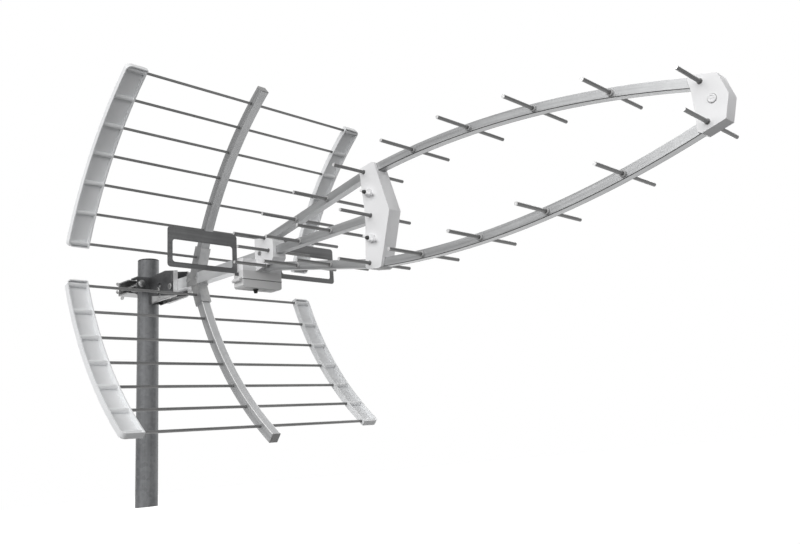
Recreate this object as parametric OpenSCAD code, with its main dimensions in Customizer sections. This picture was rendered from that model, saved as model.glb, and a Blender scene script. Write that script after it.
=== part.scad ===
// Outdoor UHF television antenna, clamped to a short length of mast.
// The origin is the middle of the mast's lower end. +X is the way the antenna points, +Z is up.
// Heights in the modules are measured from the antenna's axis, which lies mast_below above the origin.

/* [Mast] */
// Outer diameter of the mast tube
mast_d = 42.4; // [38:0.2:44]
// Wall of the mast tube
mast_wall = 2; // [1.5:0.25:3]
// Length of mast below the antenna's axis
mast_below = 420; // [380:10:700]
// Length of mast above the antenna's axis
mast_above = 70; // [45:5:200]
// Thickness of the rim of the mast's cap
mast_cap_t = 2.5; // [2:0.5:5]
// Depth of the cap's plug inside the mast
mast_plug = 12; // [8:1:25]

/* [Mast clamp] */
// Thickness of the pressed steel
steel_t = 2.5; // [2:0.25:3]
// Greatest height of the bracket's side plates above the antenna's axis
cheek_up = 32; // [31:1:36]
// Height of the side plates' front corner above the antenna's axis
cheek_nose = 24; // [20:1:30]
// Depth of the side plates below the antenna's axis
cheek_down = 27; // [25:1:36]
// Front end of the side plates, ahead of the mast's axis
cheek_front = 128; // [126:1:136]
// Width of the lips that are bent out at the front of the side plates
lip_w = 10; // [5:0.5:12]
// Width of the toothed ears and of the jaw
jaw_w = 84; // [80:1:96]
// Height of the toothed ears and of the jaw
jaw_h = 28; // [24:1:30]
// Height of the clamp bolts above the antenna's axis
jaw_z = 15; // [12:1:16]
// How far the tips of the toothed edges stay from the mast's centre line
jaw_tip = 5; // [3:0.5:8]
// Depth of the teeth
tooth_h = 1.5; // [1:0.25:2]
// Number of teeth on each flank of a notch
tooth_count = 6; // [4:1:8]
// Distance between the two clamp bolts
clamp_bolt_gap = 64; // [60:1:66]
// Diameter of the clamp bolts
clamp_bolt_d = 8; // [7:0.5:8]
// Length of clamp bolt that stands out behind the wing nuts
clamp_bolt_spare = 14; // [6:1:20]

/* [Tilt bolts] */
// Distance of the tilt pivot ahead of the mast's axis
pivot_x = 108; // [106:1:112]
// Radius of the arc slot about the pivot
slot_r = 44; // [40:1:46]
// Tilt each way from level, in degrees
tilt_range = 15; // [10:1:15]
// Diameter of the two tilt bolts
tilt_bolt_d = 8; // [6:0.5:8]

/* [Main boom] */
// Side of the square main boom
boom_s = 22; // [20:0.5:23]
// Wall of the main boom
boom_wall = 1.5; // [1:0.25:2.5]
// Rear end of the main boom, ahead of the mast's axis
boom_rear = 44; // [42:1:48]
// How far the main boom's middle lies below the antenna's axis
boom_drop = 4.5; // [3:0.5:6]

/* [Reflector] */
// Radius of the curve on which the rods lie
refl_r = 655; // [600:5:800]
// Distance of the first rod ahead of the mast's axis
refl_x = 192; // [188:1:200]
// Height of the first rod above the antenna's axis
refl_z = 37.5; // [36:0.5:40]
// Lean of the spines at the first rod, from upright, in degrees
refl_lean = 20.8; // [18:0.1:24]
// Spacing of the rods along the curve
rod_pitch = 54; // [50:0.5:58]
// Diameter of the reflector rods
rod_d = 5; // [4:0.25:6]
// Inner edge of the side strips, from the middle
strip_in = 229.5; // [200:0.5:240]
// Width of the side strips
strip_w = 38; // [34:0.5:46]
// Depth of the side strips' channel
strip_h = 10.5; // [9.5:0.5:13]
// Wall of the side strips
strip_wall = 2; // [1.5:0.25:2.5]
// How far a strip reaches past its end rods
strip_over = 7.5; // [7:0.5:10]
// Radius of the strips' outer corners
strip_corner = 9; // [6:0.5:14]
// Side of the square spine tubes
spine_s = 17; // [15:0.5:18]
// Wall of the spine tubes
spine_wall = 1.5; // [1:0.25:2]
// How far a spine reaches past its last rod
spine_over = 34; // [20:1:40]
// Length of each arm of the hub
hub_len = 60; // [56:1:64]
// Wall of the hub
hub_wall = 2; // [1.5:0.25:3]
// Length of the hub's saddle along the main boom
saddle_len = 34; // [28:1:38]

/* [Dipole] */
// Distance of the dipole's plane ahead of the mast's axis
dipole_x = 370; // [368:0.5:371]
// Inner end of each dipole loop, from the middle
loop_in = 45.5; // [45:0.5:48]
// Length of each dipole loop
loop_len = 138; // [120:1:160]
// Height of each dipole loop
loop_h = 70; // [66:1:80]
// Height of a loop's top bar
loop_top = 22; // [16:1:26]
// Height of a loop's bottom bar and width of its ends
loop_bar = 9; // [7:0.5:11]
// Thickness of the dipole's sheet
loop_t = 1.5; // [1:0.25:2]

/* [Dipole box] */
// Width of the dipole box, across the boom
box_w = 85; // [82:1:86]
// Depth of the dipole box, along the boom
box_d = 27; // [26:0.5:30]
// Wall of the box and its lid
box_wall = 2; // [1.5:0.25:2.5]
// Height of the box's top above the antenna's axis
box_top = -30; // [-31:0.5:-28]
// Height of the box, without its lid
box_h = 16; // [15:0.5:20]
// Height of the lid
lid_h = 14.5; // [14:0.5:22]

/* [Boom holder] */
// Rear face of the block that holds the three booms
holder_rear = 381; // [380:0.5:384]
// Front face of that block
holder_front = 433; // [430:0.5:440]
// Half of that block's width
holder_half = 14; // [12:0.5:15]
// Height of the holder's upper corner above the antenna's axis
holder_up = 30; // [28:0.5:32]
// Height of the holder's apron, which lies over the box
apron_h = 22; // [18:0.5:24]

/* [Booms] */
// Side of the square rear and front booms
bar_s = 14; // [13:0.5:16]
// Wall of the rear and front booms
bar_wall = 1.5; // [1:0.25:2]
// Rear end of the rear booms
bar_rear = 388; // [387:0.5:391]
// Height of the outer rear booms' middle at the first director
fan_z = 25.6; // [25:0.1:27]
// Angle of the outer rear booms, in degrees
fan_angle = 10.9; // [10.5:0.1:11.3]
// Radius of the front booms' curve
front_r = 1500; // [1400:10:1600]
// Where the front booms' curve is highest
front_apex_x = 834; // [820:1:850]
// Height of the front booms' middle there
front_apex_z = 85; // [84:0.5:86]

/* [Directors] */
// Diameter of the director rods
director_d = 5.5; // [4.5:0.25:6]
// Length of the rearmost director rods
director_len = 160; // [130:1:180]
// Length of the foremost director rods
director_front_len = 152; // [120:1:180]
// Diameter of the clips' collars
clip_d = 10; // [9:0.5:11]
// Thickness of the clips' collars
clip_t = 3; // [2:0.25:4]

/* [Middle bracket and front cap] */
// Half of the middle bracket's width
mid_half = 13; // [11:0.5:15]
// Half of the front cap's width
cap_half = 12; // [10.5:0.5:14]
// Wall of both mouldings
mould_wall = 2.5; // [2:0.25:3]
// Height of the middle bracket's bolts above and below the axis
mid_bolt_z = 38; // [34:1:42]
// Diameter of the middle bracket's bolts
mid_bolt_d = 6; // [5:0.5:6]
// Diameter of the screw's head on the front cap
cap_screw_d = 11; // [8:0.5:14]

/* [Hidden] */
$fn = 48;
// Clearance between pieces that are put together
fit = 0.2;
// Clearance of faces and shafts that turn
run = 0.1;
// Clearance between pieces that pass each other
slip = 0.3;
// Distance that cutting shapes reach past what they cut
over = 1;
ROD_NUMBERS = [1:7];
ROD_COUNT = 7;
SIDES = [-1, 1];

boom_top = boom_s / 2 - boom_drop;
boom_bottom = -boom_s / 2 - boom_drop;
mast_r = mast_d / 2;
// A notch whose flanks make this half-angle with the X axis
ear_half = 60;
jaw_half = 45;
function notch_apex(half) = (mast_r + run / 2) / sin(half);
ear_web = notch_apex(ear_half) + tooth_h + 1;
jaw_web = notch_apex(jaw_half) + tooth_h + 10;
cheek_in = boom_s / 2 + slip;
cheek_out = cheek_in + steel_t;
cheek_corner = 3;
nut_h = 9;
nut_wing = 17;
head_h = 4;

// Centre of the reflector's curve, above the axis for the lower half and below it for the upper half
arc_x = refl_x + refl_r * cos(refl_lean);
arc_z = refl_z - refl_r * sin(refl_lean);
function arc_deg(length) = length / refl_r * 180 / PI;
function rod_lean(i) = refl_lean + arc_deg((i - 1) * rod_pitch);
last_lean = rod_lean(ROD_COUNT);
// The lean at which the curve's middle is at a height above the axis
function lean_at(z) = asin((z - arc_z) / refl_r);
knee_lean = lean_at(0);
knee_x = arc_x - refl_r * cos(knee_lean);
// The lean at which a spine of the given half starts, clear of the boom
function spine_start(side) =
    lean_at((side > 0 ? boom_top : -boom_bottom) + 1 + spine_s / 2 * sin(refl_lean));
rivet_d = 5;
rivet_off = 11;
spine_pocket = spine_s + 2 * fit;
hub_w = spine_pocket + 2 * hub_wall;
saddle_half = boom_s / 2 + run + hub_wall;
strip_out = strip_in + strip_w;
rod_half = strip_out - strip_wall - 3;
socket_r = rod_d / 2 + 1.7;
strip_back = socket_r + 0.8;

box_low = box_top - box_h;
lid_low = box_low - lid_h;
loop_low = -loop_h / 2;
tab_h = 6;
hinge_y = -box_w / 2 - 4;
hinge_z = box_low - 1.5;
hinge_r = 3;
hinge_end = 11;
knuckle_half = 4.7;
pin_d = 2;
board_z = box_top - 5.6;
board_t = 1.6;
socket_y = -6;
socket_len = 14;
socket_d = 9.5;
terminal_y = 32;
terminal_d = 3;
gland_d = 9;

holder_screw_x = 396;
holder_screw_d = 4;

fan_x = 410;
rear_x = [fan_x, 490, 573, 671];
middle_x = [420, 498, 578, 680];
front_x = [777, 890, 1007, 1128, 1250];
function fan_height(x) = fan_z + (x - fan_x) * tan(fan_angle);
function front_lean(x) = asin((x - front_apex_x) / front_r);
function front_height(x) = front_apex_z - front_r * (1 - cos(front_lean(x)));
fan_front = 672;
middle_front = 686;
front_rear = 681;
front_end = 1262;
mid_front = 722;
mid_rear = 661;
mid_bolt_x = 680;
cap_tip = 1282;
cap_screw_x = 1261;

// Colours as the photo shows them
galvanised = [0.47, 0.48, 0.5];
zinc = [0.6, 0.61, 0.62];
aluminium = [0.66, 0.67, 0.69];
white_plastic = [0.92, 0.92, 0.93];
clear_plastic = [0.72, 0.73, 0.75];
grey_plastic = [0.7, 0.71, 0.72];
black = [0.06, 0.06, 0.06];
board_green = [0.1, 0.32, 0.16];
nickel = [0.75, 0.72, 0.62];

// Moves what is drawn from the antenna's axis to its height on the mast
module at_axis() {
    translate([0, 0, mast_below]) children();
}

// Draws an outline given as X and Z as a plate from y0 to y0 + t
module side_plate(y0, t) {
    translate([0, y0 + t, 0]) rotate([90, 0, 0]) linear_extrude(t) children();
}

// A round bar or hole along Y, through the point x, z
module along_y(x, z, y0, y1, r) {
    translate([x, y1, z]) rotate([90, 0, 0]) cylinder(r = r, h = y1 - y0);
}

// A square tube along +X, centred on its axis
module square_tube(length, side, wall) {
    difference() {
        translate([0, -side / 2, -side / 2]) cube([length, side, side]);
        translate([-over, -side / 2 + wall, -side / 2 + wall])
            cube([length + 2 * over, side - 2 * wall, side - 2 * wall]);
    }
}

module square_ring(side, wall) {
    difference() {
        square(side, center = true);
        square(side - 2 * wall, center = true);
    }
}

module rounded_rectangle(size, r) {
    translate([r, 0]) square([size[0] - 2 * r, size[1]]);
    translate([0, r]) square([size[0], size[1] - 2 * r]);
    for (x = [r, size[0] - r], y = [r, size[1] - r]) translate([x, y]) circle(r);
}

// Draws the upper half's children again for the lower half when side is -1
module half(side) {
    if (side > 0) children();
    else mirror([0, 0, 1]) children();
}

module mast_tube() {
    color(galvanised) difference() {
        cylinder(d = mast_d, h = mast_below + mast_above, $fn = 96);
        translate([0, 0, -over])
            cylinder(d = mast_d - 2 * mast_wall, h = mast_below + mast_above + 2 * over, $fn = 96);
    }
}

module mast_cap() {
    color(black) at_axis() {
        translate([0, 0, mast_above]) cylinder(d = mast_d, h = mast_cap_t, $fn = 96);
        translate([0, 0, mast_above - mast_plug])
            cylinder(d = mast_d - 2 * mast_wall - 2 * run, h = mast_plug + mast_cap_t / 2, $fn = 96);
    }
}

// A horizontal plate with a toothed notch that opens towards the mast
module toothed_plate(notch_half, web) {
    apex = notch_apex(notch_half);
    mouth = (apex - jaw_tip) * tan(notch_half);
    flank = [for (i = [0 : 2 * tooth_count]) let (k = i / (2 * tooth_count))
        [jaw_tip + (apex - jaw_tip) * k + (i % 2) * tooth_h * sin(notch_half),
         mouth * (1 - k) + (i % 2) * tooth_h * cos(notch_half)]];
    other_flank = [for (i = [2 * tooth_count - 1 : -1 : 0]) [flank[i][0], -flank[i][1]]];
    polygon(concat([[web, jaw_w / 2], [jaw_tip, jaw_w / 2]], flank, other_flank,
        [[jaw_tip, -jaw_w / 2], [web, -jaw_w / 2]]));
}

// The toothed channel that bites one side of the mast, with its two bolt holes
module toothed_channel(notch_half, web) {
    difference() {
        union() {
            for (z = [jaw_z - jaw_h / 2, jaw_z + jaw_h / 2 - steel_t])
                translate([0, 0, z]) linear_extrude(steel_t) toothed_plate(notch_half, web + steel_t);
            translate([web, -jaw_w / 2, jaw_z - jaw_h / 2]) cube([steel_t, jaw_w, jaw_h]);
        }
        for (side = SIDES) translate([web - over, side * clamp_bolt_gap / 2, jaw_z])
            rotate([0, 90, 0]) cylinder(d = clamp_bolt_d + 2 * fit, h = steel_t + 2 * over);
    }
}

function arc_points(centre, r, from, to, steps) = [for (i = [0 : steps])
    centre + r * [cos(from + (to - from) * i / steps), sin(from + (to - from) * i / steps)]];

// An arc slot about the origin, on the side of -X, with round ends
module arc_slot(r, half_width, reach) {
    low = 180 - reach;
    high = 180 + reach;
    polygon(concat(
        arc_points([0, 0], r + half_width, low, high, 12),
        arc_points(r * [cos(high), sin(high)], half_width, high, high + 180, 12),
        arc_points([0, 0], r - half_width, high, low, 12),
        arc_points(r * [cos(low), sin(low)], half_width, low + 180, low + 360, 12)));
}

// Outline of a side plate, with the pivot's bore and the arc slot of the tilt lock
module cheek_outline() {
    difference() {
        polygon([[ear_web, -cheek_down], [cheek_front - cheek_corner, -cheek_down],
            [cheek_front, cheek_corner - cheek_down], [cheek_front, cheek_nose],
            [pivot_x - slot_r / 2, cheek_up], [ear_web, cheek_up - cheek_corner]]);
        translate([pivot_x, -boom_drop]) {
            circle(d = tilt_bolt_d + 2 * run);
            arc_slot(slot_r, tilt_bolt_d / 2 + fit, tilt_range);
        }
    }
}

module clamp_bracket() {
    color(zinc) at_axis() {
        toothed_channel(ear_half, ear_web);
        for (y = [-cheek_out, cheek_in]) side_plate(y, steel_t) cheek_outline();
        translate([ear_web, -cheek_out, 1 - cheek_down])
            cube([steel_t, 2 * cheek_out, cheek_down + cheek_up - cheek_corner - 2]);
        for (side = SIDES) mirror([0, side > 0 ? 0 : 1, 0])
            translate([cheek_front - steel_t, cheek_in, cheek_corner + 1 - cheek_down])
            cube([steel_t, lip_w, cheek_down - cheek_corner + cheek_nose - 2]);
    }
}

module clamp_jaw() {
    color(zinc) at_axis() mirror([1, 0, 0]) toothed_channel(jaw_half, jaw_web);
}

module clamp_bolts() {
    head_x = ear_web + steel_t;
    tail_x = -jaw_web - steel_t - nut_h - clamp_bolt_spare;
    color(zinc) at_axis() for (side = SIDES)
        translate([0, side * clamp_bolt_gap / 2, jaw_z]) rotate([0, 90, 0]) {
            translate([0, 0, tail_x]) cylinder(d = clamp_bolt_d, h = head_x - tail_x + over);
            translate([0, 0, head_x]) cylinder(d = 2 * clamp_bolt_d, h = head_h / 2);
            translate([0, 0, head_x + head_h / 2])
                cylinder(d1 = 2 * clamp_bolt_d, d2 = clamp_bolt_d, h = head_h / 2);
        }
}

// A wing nut that sits on z = 0 with its wings along X
module wing_nut(bolt_d) {
    tip = nut_wing - 4;
    difference() {
        union() {
            cylinder(d1 = bolt_d + 8, d2 = bolt_d + 5, h = nut_h);
            for (side = SIDES) rotate([90, 0, 0]) linear_extrude(3, center = true) {
                translate([side * tip, nut_h + 1]) circle(4);
                polygon([[0, 0.8], [side * (bolt_d / 2 + 3), 0.8], [side * (tip + 3.4), nut_h - 1.2],
                    [side * (tip - 3), nut_h + 3.6], [0, nut_h - 3]]);
            }
        }
        translate([0, 0, -over]) cylinder(d = bolt_d + 2 * run, h = nut_h + 8);
    }
}

module clamp_wing_nut(side) {
    color(zinc) at_axis() translate([-jaw_web - steel_t - run, side * clamp_bolt_gap / 2, jaw_z])
        rotate([0, -90, 0]) rotate([0, 0, side > 0 ? 0 : -20]) wing_nut(clamp_bolt_d);
}

module tilt_bolts() {
    head_y = -cheek_out - slip;
    tail_y = cheek_out + slip + head_h + 4;
    color(zinc) at_axis() for (x = [pivot_x, pivot_x - slot_r]) {
        along_y(x, -boom_drop, head_y - over, tail_y, tilt_bolt_d / 2);
        along_y(x, -boom_drop, head_y - head_h, head_y, tilt_bolt_d * 0.8);
    }
}

module tilt_nuts() {
    y0 = cheek_out + slip;
    color(zinc) at_axis() for (x = [pivot_x, pivot_x - slot_r]) difference() {
        translate([x, y0 + 5, -boom_drop]) rotate([90, 0, 0]) cylinder(d = tilt_bolt_d * 1.8, h = 5, $fn = 6);
        along_y(x, -boom_drop, y0 - over, y0 + 5 + over, tilt_bolt_d / 2 + run / 2);
    }
}

module main_boom() {
    color(aluminium) at_axis() difference() {
        translate([boom_rear, 0, -boom_drop]) square_tube(bar_rear - 2 - boom_rear, boom_s, boom_wall);
        for (x = [pivot_x, pivot_x - slot_r])
            along_y(x, -boom_drop, -boom_s, boom_s, tilt_bolt_d / 2 + run / 2);
        for (x = [knee_x - rivet_off, knee_x + rivet_off])
            along_y(x, -boom_drop, -boom_s, boom_s, rivet_d / 2 + run / 2);
    }
}

module boom_end_plug() {
    inner = boom_s - 2 * boom_wall - 2 * run;
    color(black) at_axis() translate([boom_rear, 0, -boom_drop]) {
        translate([-1.5, -boom_s / 2, -boom_s / 2]) cube([1.5, boom_s, boom_s]);
        translate([-0.5, -inner / 2, -inner / 2]) cube([8.5, inner, inner]);
    }
}

module reflector_hub() {
    color(zinc) at_axis() difference() {
        union() {
            for (side = SIDES) half(side)
                reflector_sweep(knee_lean, knee_lean + arc_deg(hub_len)) square(hub_w, center = true);
            translate([knee_x - saddle_len / 2, -saddle_half, boom_bottom - run - hub_wall])
                cube([saddle_len, 2 * saddle_half, boom_s + 2 * run + 2 * hub_wall]);
        }
        translate([knee_x - saddle_len, -boom_s / 2 - run, boom_bottom - run])
            cube([2 * saddle_len, boom_s + 2 * run, boom_s + 2 * run]);
        for (side = SIDES) half(side) {
            reflector_sweep(spine_start(side) - arc_deg(fit), knee_lean + arc_deg(hub_len + over))
                square(spine_pocket, center = true);
            along_y(refl_x, refl_z, -hub_w, hub_w, rod_d / 2 + run);
        }
        for (x = [knee_x - rivet_off, knee_x + rivet_off])
            along_y(x, -boom_drop, -boom_s, boom_s, rivet_d / 2 + run / 2);
    }
}

module hub_rivets() {
    color(zinc) at_axis() for (x = [knee_x - rivet_off, knee_x + rivet_off]) {
        along_y(x, -boom_drop, -saddle_half - 1, saddle_half + 1, rivet_d / 2);
        for (y0 = [-saddle_half - 2, saddle_half]) along_y(x, -boom_drop, y0, y0 + 2, rivet_d * 0.9);
    }
}

// Turns an outline of radius and width round the centre of the reflector's curve
module reflector_sweep(from_lean, to_lean) {
    translate([arc_x, 0, arc_z]) rotate([90, 0, 0]) rotate([0, 0, 180 - to_lean])
        rotate_extrude(angle = to_lean - from_lean, $fn = 180) translate([refl_r, 0]) children();
}

// Places things on the reflector's curve, with X away from its centre and Z back along it
module on_curve(lean) {
    translate([arc_x, 0, arc_z]) rotate([0, lean - 180, 0]) translate([refl_r, 0, 0]) children();
}

module spine(side) {
    color(aluminium) at_axis() half(side) difference() {
        reflector_sweep(spine_start(side), last_lean + arc_deg(spine_over)) square_ring(spine_s, spine_wall);
        for (i = ROD_NUMBERS) on_curve(rod_lean(i)) rotate([90, 0, 0])
            cylinder(d = rod_d + 2 * run, h = 2 * spine_s, center = true);
    }
}

module spine_plugs() {
    inner = spine_s - 2 * spine_wall - 2 * run;
    color(aluminium) at_axis() for (side = SIDES) half(side) on_curve(last_lean + arc_deg(spine_over)) {
        translate([-spine_s / 2, -spine_s / 2, -1.5]) cube([spine_s, spine_s, 1.5]);
        translate([-inner / 2, -inner / 2, -1]) cube([inner, inner, 8]);
    }
}

// The wedge outside a strip's rounded corner, at an end of the strip, with flats that touch the arc
module corner_wedge(y_edge, r) {
    steps = 8;
    translate([-2 * strip_h, 0, 0]) rotate([90, 0, 90]) linear_extrude(4 * strip_h)
        polygon(concat([[y_edge + over, -over], [y_edge + over, r]],
            arc_points([y_edge - r, r], r / cos(45 / steps), 0, -90, steps), [[y_edge - r, -over]]));
}

// The space of a side strip, shrunk by inset all round, between two depths from the rods' curve
module strip_space(inset, depth0, depth1) {
    first = refl_lean - arc_deg(strip_over - inset);
    last = last_lean + arc_deg(strip_over - inset);
    corner = strip_corner - inset;
    difference() {
        reflector_sweep(first, last) translate([depth0, -strip_out + inset])
            square([depth1 - depth0, strip_w - 2 * inset]);
        on_curve(last) corner_wedge(strip_out - inset, corner);
        on_curve(first) mirror([0, 0, 1]) corner_wedge(strip_out - inset, corner);
    }
}

module side_strip(side, far) {
    color(clear_plastic) at_axis() half(side) mirror([0, far ? 0 : 1, 0]) difference() {
        union() {
            difference() {
                strip_space(0, strip_back - strip_h, strip_back);
                strip_space(strip_wall, strip_back - strip_h - over, strip_back - strip_wall);
            }
            for (i = ROD_NUMBERS) on_curve(rod_lean(i)) translate([0, strip_in + strip_wall / 2, 0])
                rotate([-90, 0, 0]) cylinder(r = socket_r, h = strip_w - 1.5 * strip_wall - 1);
        }
        for (i = ROD_NUMBERS) on_curve(rod_lean(i)) translate([0, strip_in - over, 0]) rotate([-90, 0, 0])
            cylinder(d = rod_d + 2 * run, h = rod_half - strip_in + over + run);
    }
}

module reflector_rod(i, side) {
    color(zinc) at_axis() half(side) on_curve(rod_lean(i)) rotate([90, 0, 0])
        cylinder(d = rod_d, h = 2 * rod_half, center = true);
}

module dipole_loop(side) {
    foot_z = board_z - board_t - loop_t;
    color(aluminium) at_axis() mirror([0, side > 0 ? 0 : 1, 0]) {
        translate([dipole_x - loop_t / 2, 0, 0]) rotate([90, 0, 90]) linear_extrude(loop_t) {
            difference() {
                translate([loop_in, loop_low]) rounded_rectangle([loop_len, loop_h], 6);
                translate([loop_in + loop_bar, loop_low + loop_bar])
                    rounded_rectangle([loop_len - 2 * loop_bar, loop_h - loop_bar - loop_top], 5);
            }
            translate([terminal_y + 4, foot_z]) square([loop_in + loop_bar / 2 - terminal_y - 4, tab_h]);
        }
        difference() {
            translate([dipole_x - 4, terminal_y - 5, foot_z]) cube([8, 10, loop_t]);
            translate([dipole_x, terminal_y, foot_z - over])
                cylinder(d = terminal_d + 2 * run, h = loop_t + 2 * over);
        }
    }
}

// The moulding over the dipole box: an apron that the main boom lies in, and the block for the three booms
module boom_holder() {
    block = [[dipole_x + box_d / 2, box_top], [holder_rear, box_top], [holder_rear, holder_up],
        [holder_front - 6, holder_up - 8], [holder_front, holder_up - 16],
        [holder_front, 16 - holder_up], [holder_front - 6, 8 - holder_up]];
    color(white_plastic) at_axis() difference() {
        union() {
            translate([dipole_x - box_d / 2, -box_w / 2, box_top]) cube([box_d, box_w, apron_h]);
            side_plate(-holder_half, 2 * holder_half) polygon(block);
        }
        translate([boom_rear, -boom_s / 2 - run, boom_bottom - run])
            cube([bar_rear - 2 + run - boom_rear, boom_s + 2 * run, boom_s + 2 * run]);
        translate([boom_rear, -boom_s / 2 - run, boom_bottom - run])
            cube([holder_rear - boom_rear, boom_s + 2 * run, 3 * boom_s]);
        for (y = [-box_w / 2 + box_wall, boom_s / 2 + box_wall])
            translate([dipole_x - box_d / 2 + box_wall, y, box_top - over])
                cube([box_d - 2 * box_wall, (box_w - boom_s) / 2 - 2 * box_wall, apron_h - box_wall + over]);
        for (side = SIDES) half(side) rear_boom_place() bar_pocket(holder_front - bar_rear + bar_s);
        translate([bar_rear, 0, 0]) bar_pocket(holder_front - bar_rear + bar_s);
        director_holes(holder_half);
        along_y(holder_screw_x, 0, -2 * holder_half, 2 * holder_half, holder_screw_d / 2 + run / 2);
    }
}

// A pocket for the end of a boom, from the boom's end forwards
module bar_pocket(length) {
    translate([-fit, -bar_s / 2 - fit, -bar_s / 2 - fit]) cube([length, bar_s + 2 * fit, bar_s + 2 * fit]);
}

// Places a thing at the upper rear boom's rear end, with X along the boom
module rear_boom_place() {
    translate([bar_rear, 0, fan_height(bar_rear)]) rotate([0, -fan_angle, 0]) children();
}

module holder_screw() {
    color(zinc) at_axis() {
        along_y(holder_screw_x, 0, -holder_half - 1, holder_half + 1, holder_screw_d / 2);
        for (y0 = [-holder_half - 2, holder_half]) difference() {
            along_y(holder_screw_x, 0, y0, y0 + 2, 4);
            along_y(holder_screw_x, 0, y0 > 0 ? y0 + 1 : y0 - over, y0 > 0 ? y0 + 2 + over : y0 + 1, 2);
        }
    }
}

module director_holes(y_half) {
    r = director_d / 2 + run / 2;
    for (x = rear_x, side = SIDES) along_y(x, side * fan_height(x), -y_half - over, y_half + over, r);
    for (x = middle_x) along_y(x, 0, -y_half - over, y_half + over, r);
}

// A small hook on the side of the box or lid at each end
module box_hooks(z0, h) {
    translate([dipole_x - 5, box_w / 2 - over, z0]) cube([10, 5 + over, h]);
}

// The bore of the lid's hinge
module pin_bore() {
    translate([dipole_x - box_d, hinge_y, hinge_z]) rotate([0, 90, 0])
        cylinder(d = pin_d + 2 * run, h = 2 * box_d);
}

module dipole_box() {
    color(grey_plastic) at_axis() difference() {
        union() {
            translate([dipole_x - box_d / 2, -box_w / 2, box_low]) cube([box_d, box_w, box_h]);
            box_hooks(box_low, 4);
            for (x = [-hinge_end, knuckle_half + slip]) {
                translate([dipole_x + x, hinge_y, hinge_z]) rotate([0, 90, 0])
                    cylinder(r = hinge_r, h = hinge_end - knuckle_half - slip);
                translate([dipole_x + x, hinge_y, box_low])
                    cube([hinge_end - knuckle_half - slip, -hinge_y - box_w / 2 + over, 3]);
            }
        }
        translate([dipole_x - box_d / 2 + box_wall, -box_w / 2 + box_wall, box_low - over])
            cube([box_d - 2 * box_wall, box_w - 2 * box_wall, box_h - box_wall + over]);
        pin_bore();
        translate([dipole_x - loop_t / 2 - run, -box_w / 2 - over, board_z - board_t - loop_t - run])
            cube([loop_t + 2 * run, box_w + 2 * over, tab_h + 2 * run]);
    }
}

module box_lid() {
    color(grey_plastic) at_axis() difference() {
        union() {
            translate([dipole_x - box_d / 2, -box_w / 2, lid_low]) cube([box_d, box_w, lid_h - slip]);
            box_hooks(box_low - slip - 5, 5);
            translate([dipole_x - knuckle_half, hinge_y, hinge_z]) rotate([0, 90, 0])
                cylinder(r = hinge_r, h = 2 * knuckle_half);
            translate([dipole_x - knuckle_half, hinge_y, hinge_z - hinge_r])
                cube([2 * knuckle_half, -hinge_y - box_w / 2 + over, 3]);
        }
        translate([dipole_x - box_d / 2 + box_wall, -box_w / 2 + box_wall, lid_low + box_wall])
            cube([box_d - 2 * box_wall, box_w - 2 * box_wall, lid_h]);
        pin_bore();
        translate([dipole_x, socket_y, lid_low - over]) cylinder(d = gland_d, h = box_wall + 2 * over);
        translate([dipole_x - box_d / 2 - over, -box_w / 2 - over, lid_low - over])
            rotate([0, 90, 0]) cylinder(r = 5, h = box_d + 2 * over, $fn = 4);
        translate([dipole_x - box_d / 2 - over, box_w / 2 + over, lid_low - over])
            rotate([0, 90, 0]) cylinder(r = 5, h = box_d + 2 * over, $fn = 4);
    }
}

module lid_hinge_pin() {
    color(zinc) at_axis() translate([dipole_x - hinge_end - 0.5, hinge_y, hinge_z]) rotate([0, 90, 0])
        cylinder(d = pin_d, h = 2 * hinge_end + 1);
}

module circuit_board() {
    color(board_green) at_axis() difference() {
        translate([dipole_x - box_d / 2 + box_wall + fit, -terminal_y - 3.5, board_z - board_t])
            cube([box_d - 2 * box_wall - 2 * fit, 2 * terminal_y + 7, board_t]);
        for (side = SIDES) translate([dipole_x, side * terminal_y, board_z - 2 * board_t])
            cylinder(d = terminal_d + 2 * run, h = 3 * board_t);
    }
}

module cable_socket() {
    color(nickel) at_axis() translate([dipole_x, socket_y, board_z - board_t]) mirror([0, 0, 1])
        difference() {
            union() {
                cylinder(d = socket_d, h = socket_len);
                cylinder(d = 13, h = 3, $fn = 6);
            }
            translate([0, 0, 5]) cylinder(d = 4, h = socket_len);
        }
}

module terminal_screws() {
    head_z = board_z - board_t - loop_t;
    color(zinc) at_axis() for (side = SIDES) translate([dipole_x, side * terminal_y, 0]) {
        translate([0, 0, head_z - 2.4]) cylinder(d = 2 * terminal_d, h = 2.4);
        translate([0, 0, head_z - over]) cylinder(d = terminal_d, h = board_z - head_z + over + 1.5);
    }
}

module cable_gland() {
    color(black) at_axis() translate([dipole_x, socket_y, 0]) difference() {
        union() {
            translate([0, 0, lid_low - 9]) cylinder(d1 = 7, d2 = gland_d - 2 * run, h = 9 + box_wall);
            translate([0, 0, lid_low - 1.5]) cylinder(d = gland_d + 3, h = 1.5);
        }
        translate([0, 0, lid_low - 9 + 1.5]) cylinder(d = 5, h = 12 + box_wall);
    }
}

module outer_rear_boom(side) {
    length = (fan_front - bar_rear) / cos(fan_angle);
    color(aluminium) at_axis() difference() {
        half(side) rear_boom_place() square_tube(length, bar_s, bar_wall);
        director_holes(bar_s / 2);
    }
}

module middle_rear_boom() {
    color(aluminium) at_axis() difference() {
        translate([bar_rear, 0, 0]) square_tube(middle_front - bar_rear, bar_s, bar_wall);
        director_holes(bar_s / 2);
        along_y(holder_screw_x, 0, -bar_s, bar_s, holder_screw_d / 2 + run / 2);
    }
}

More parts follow.
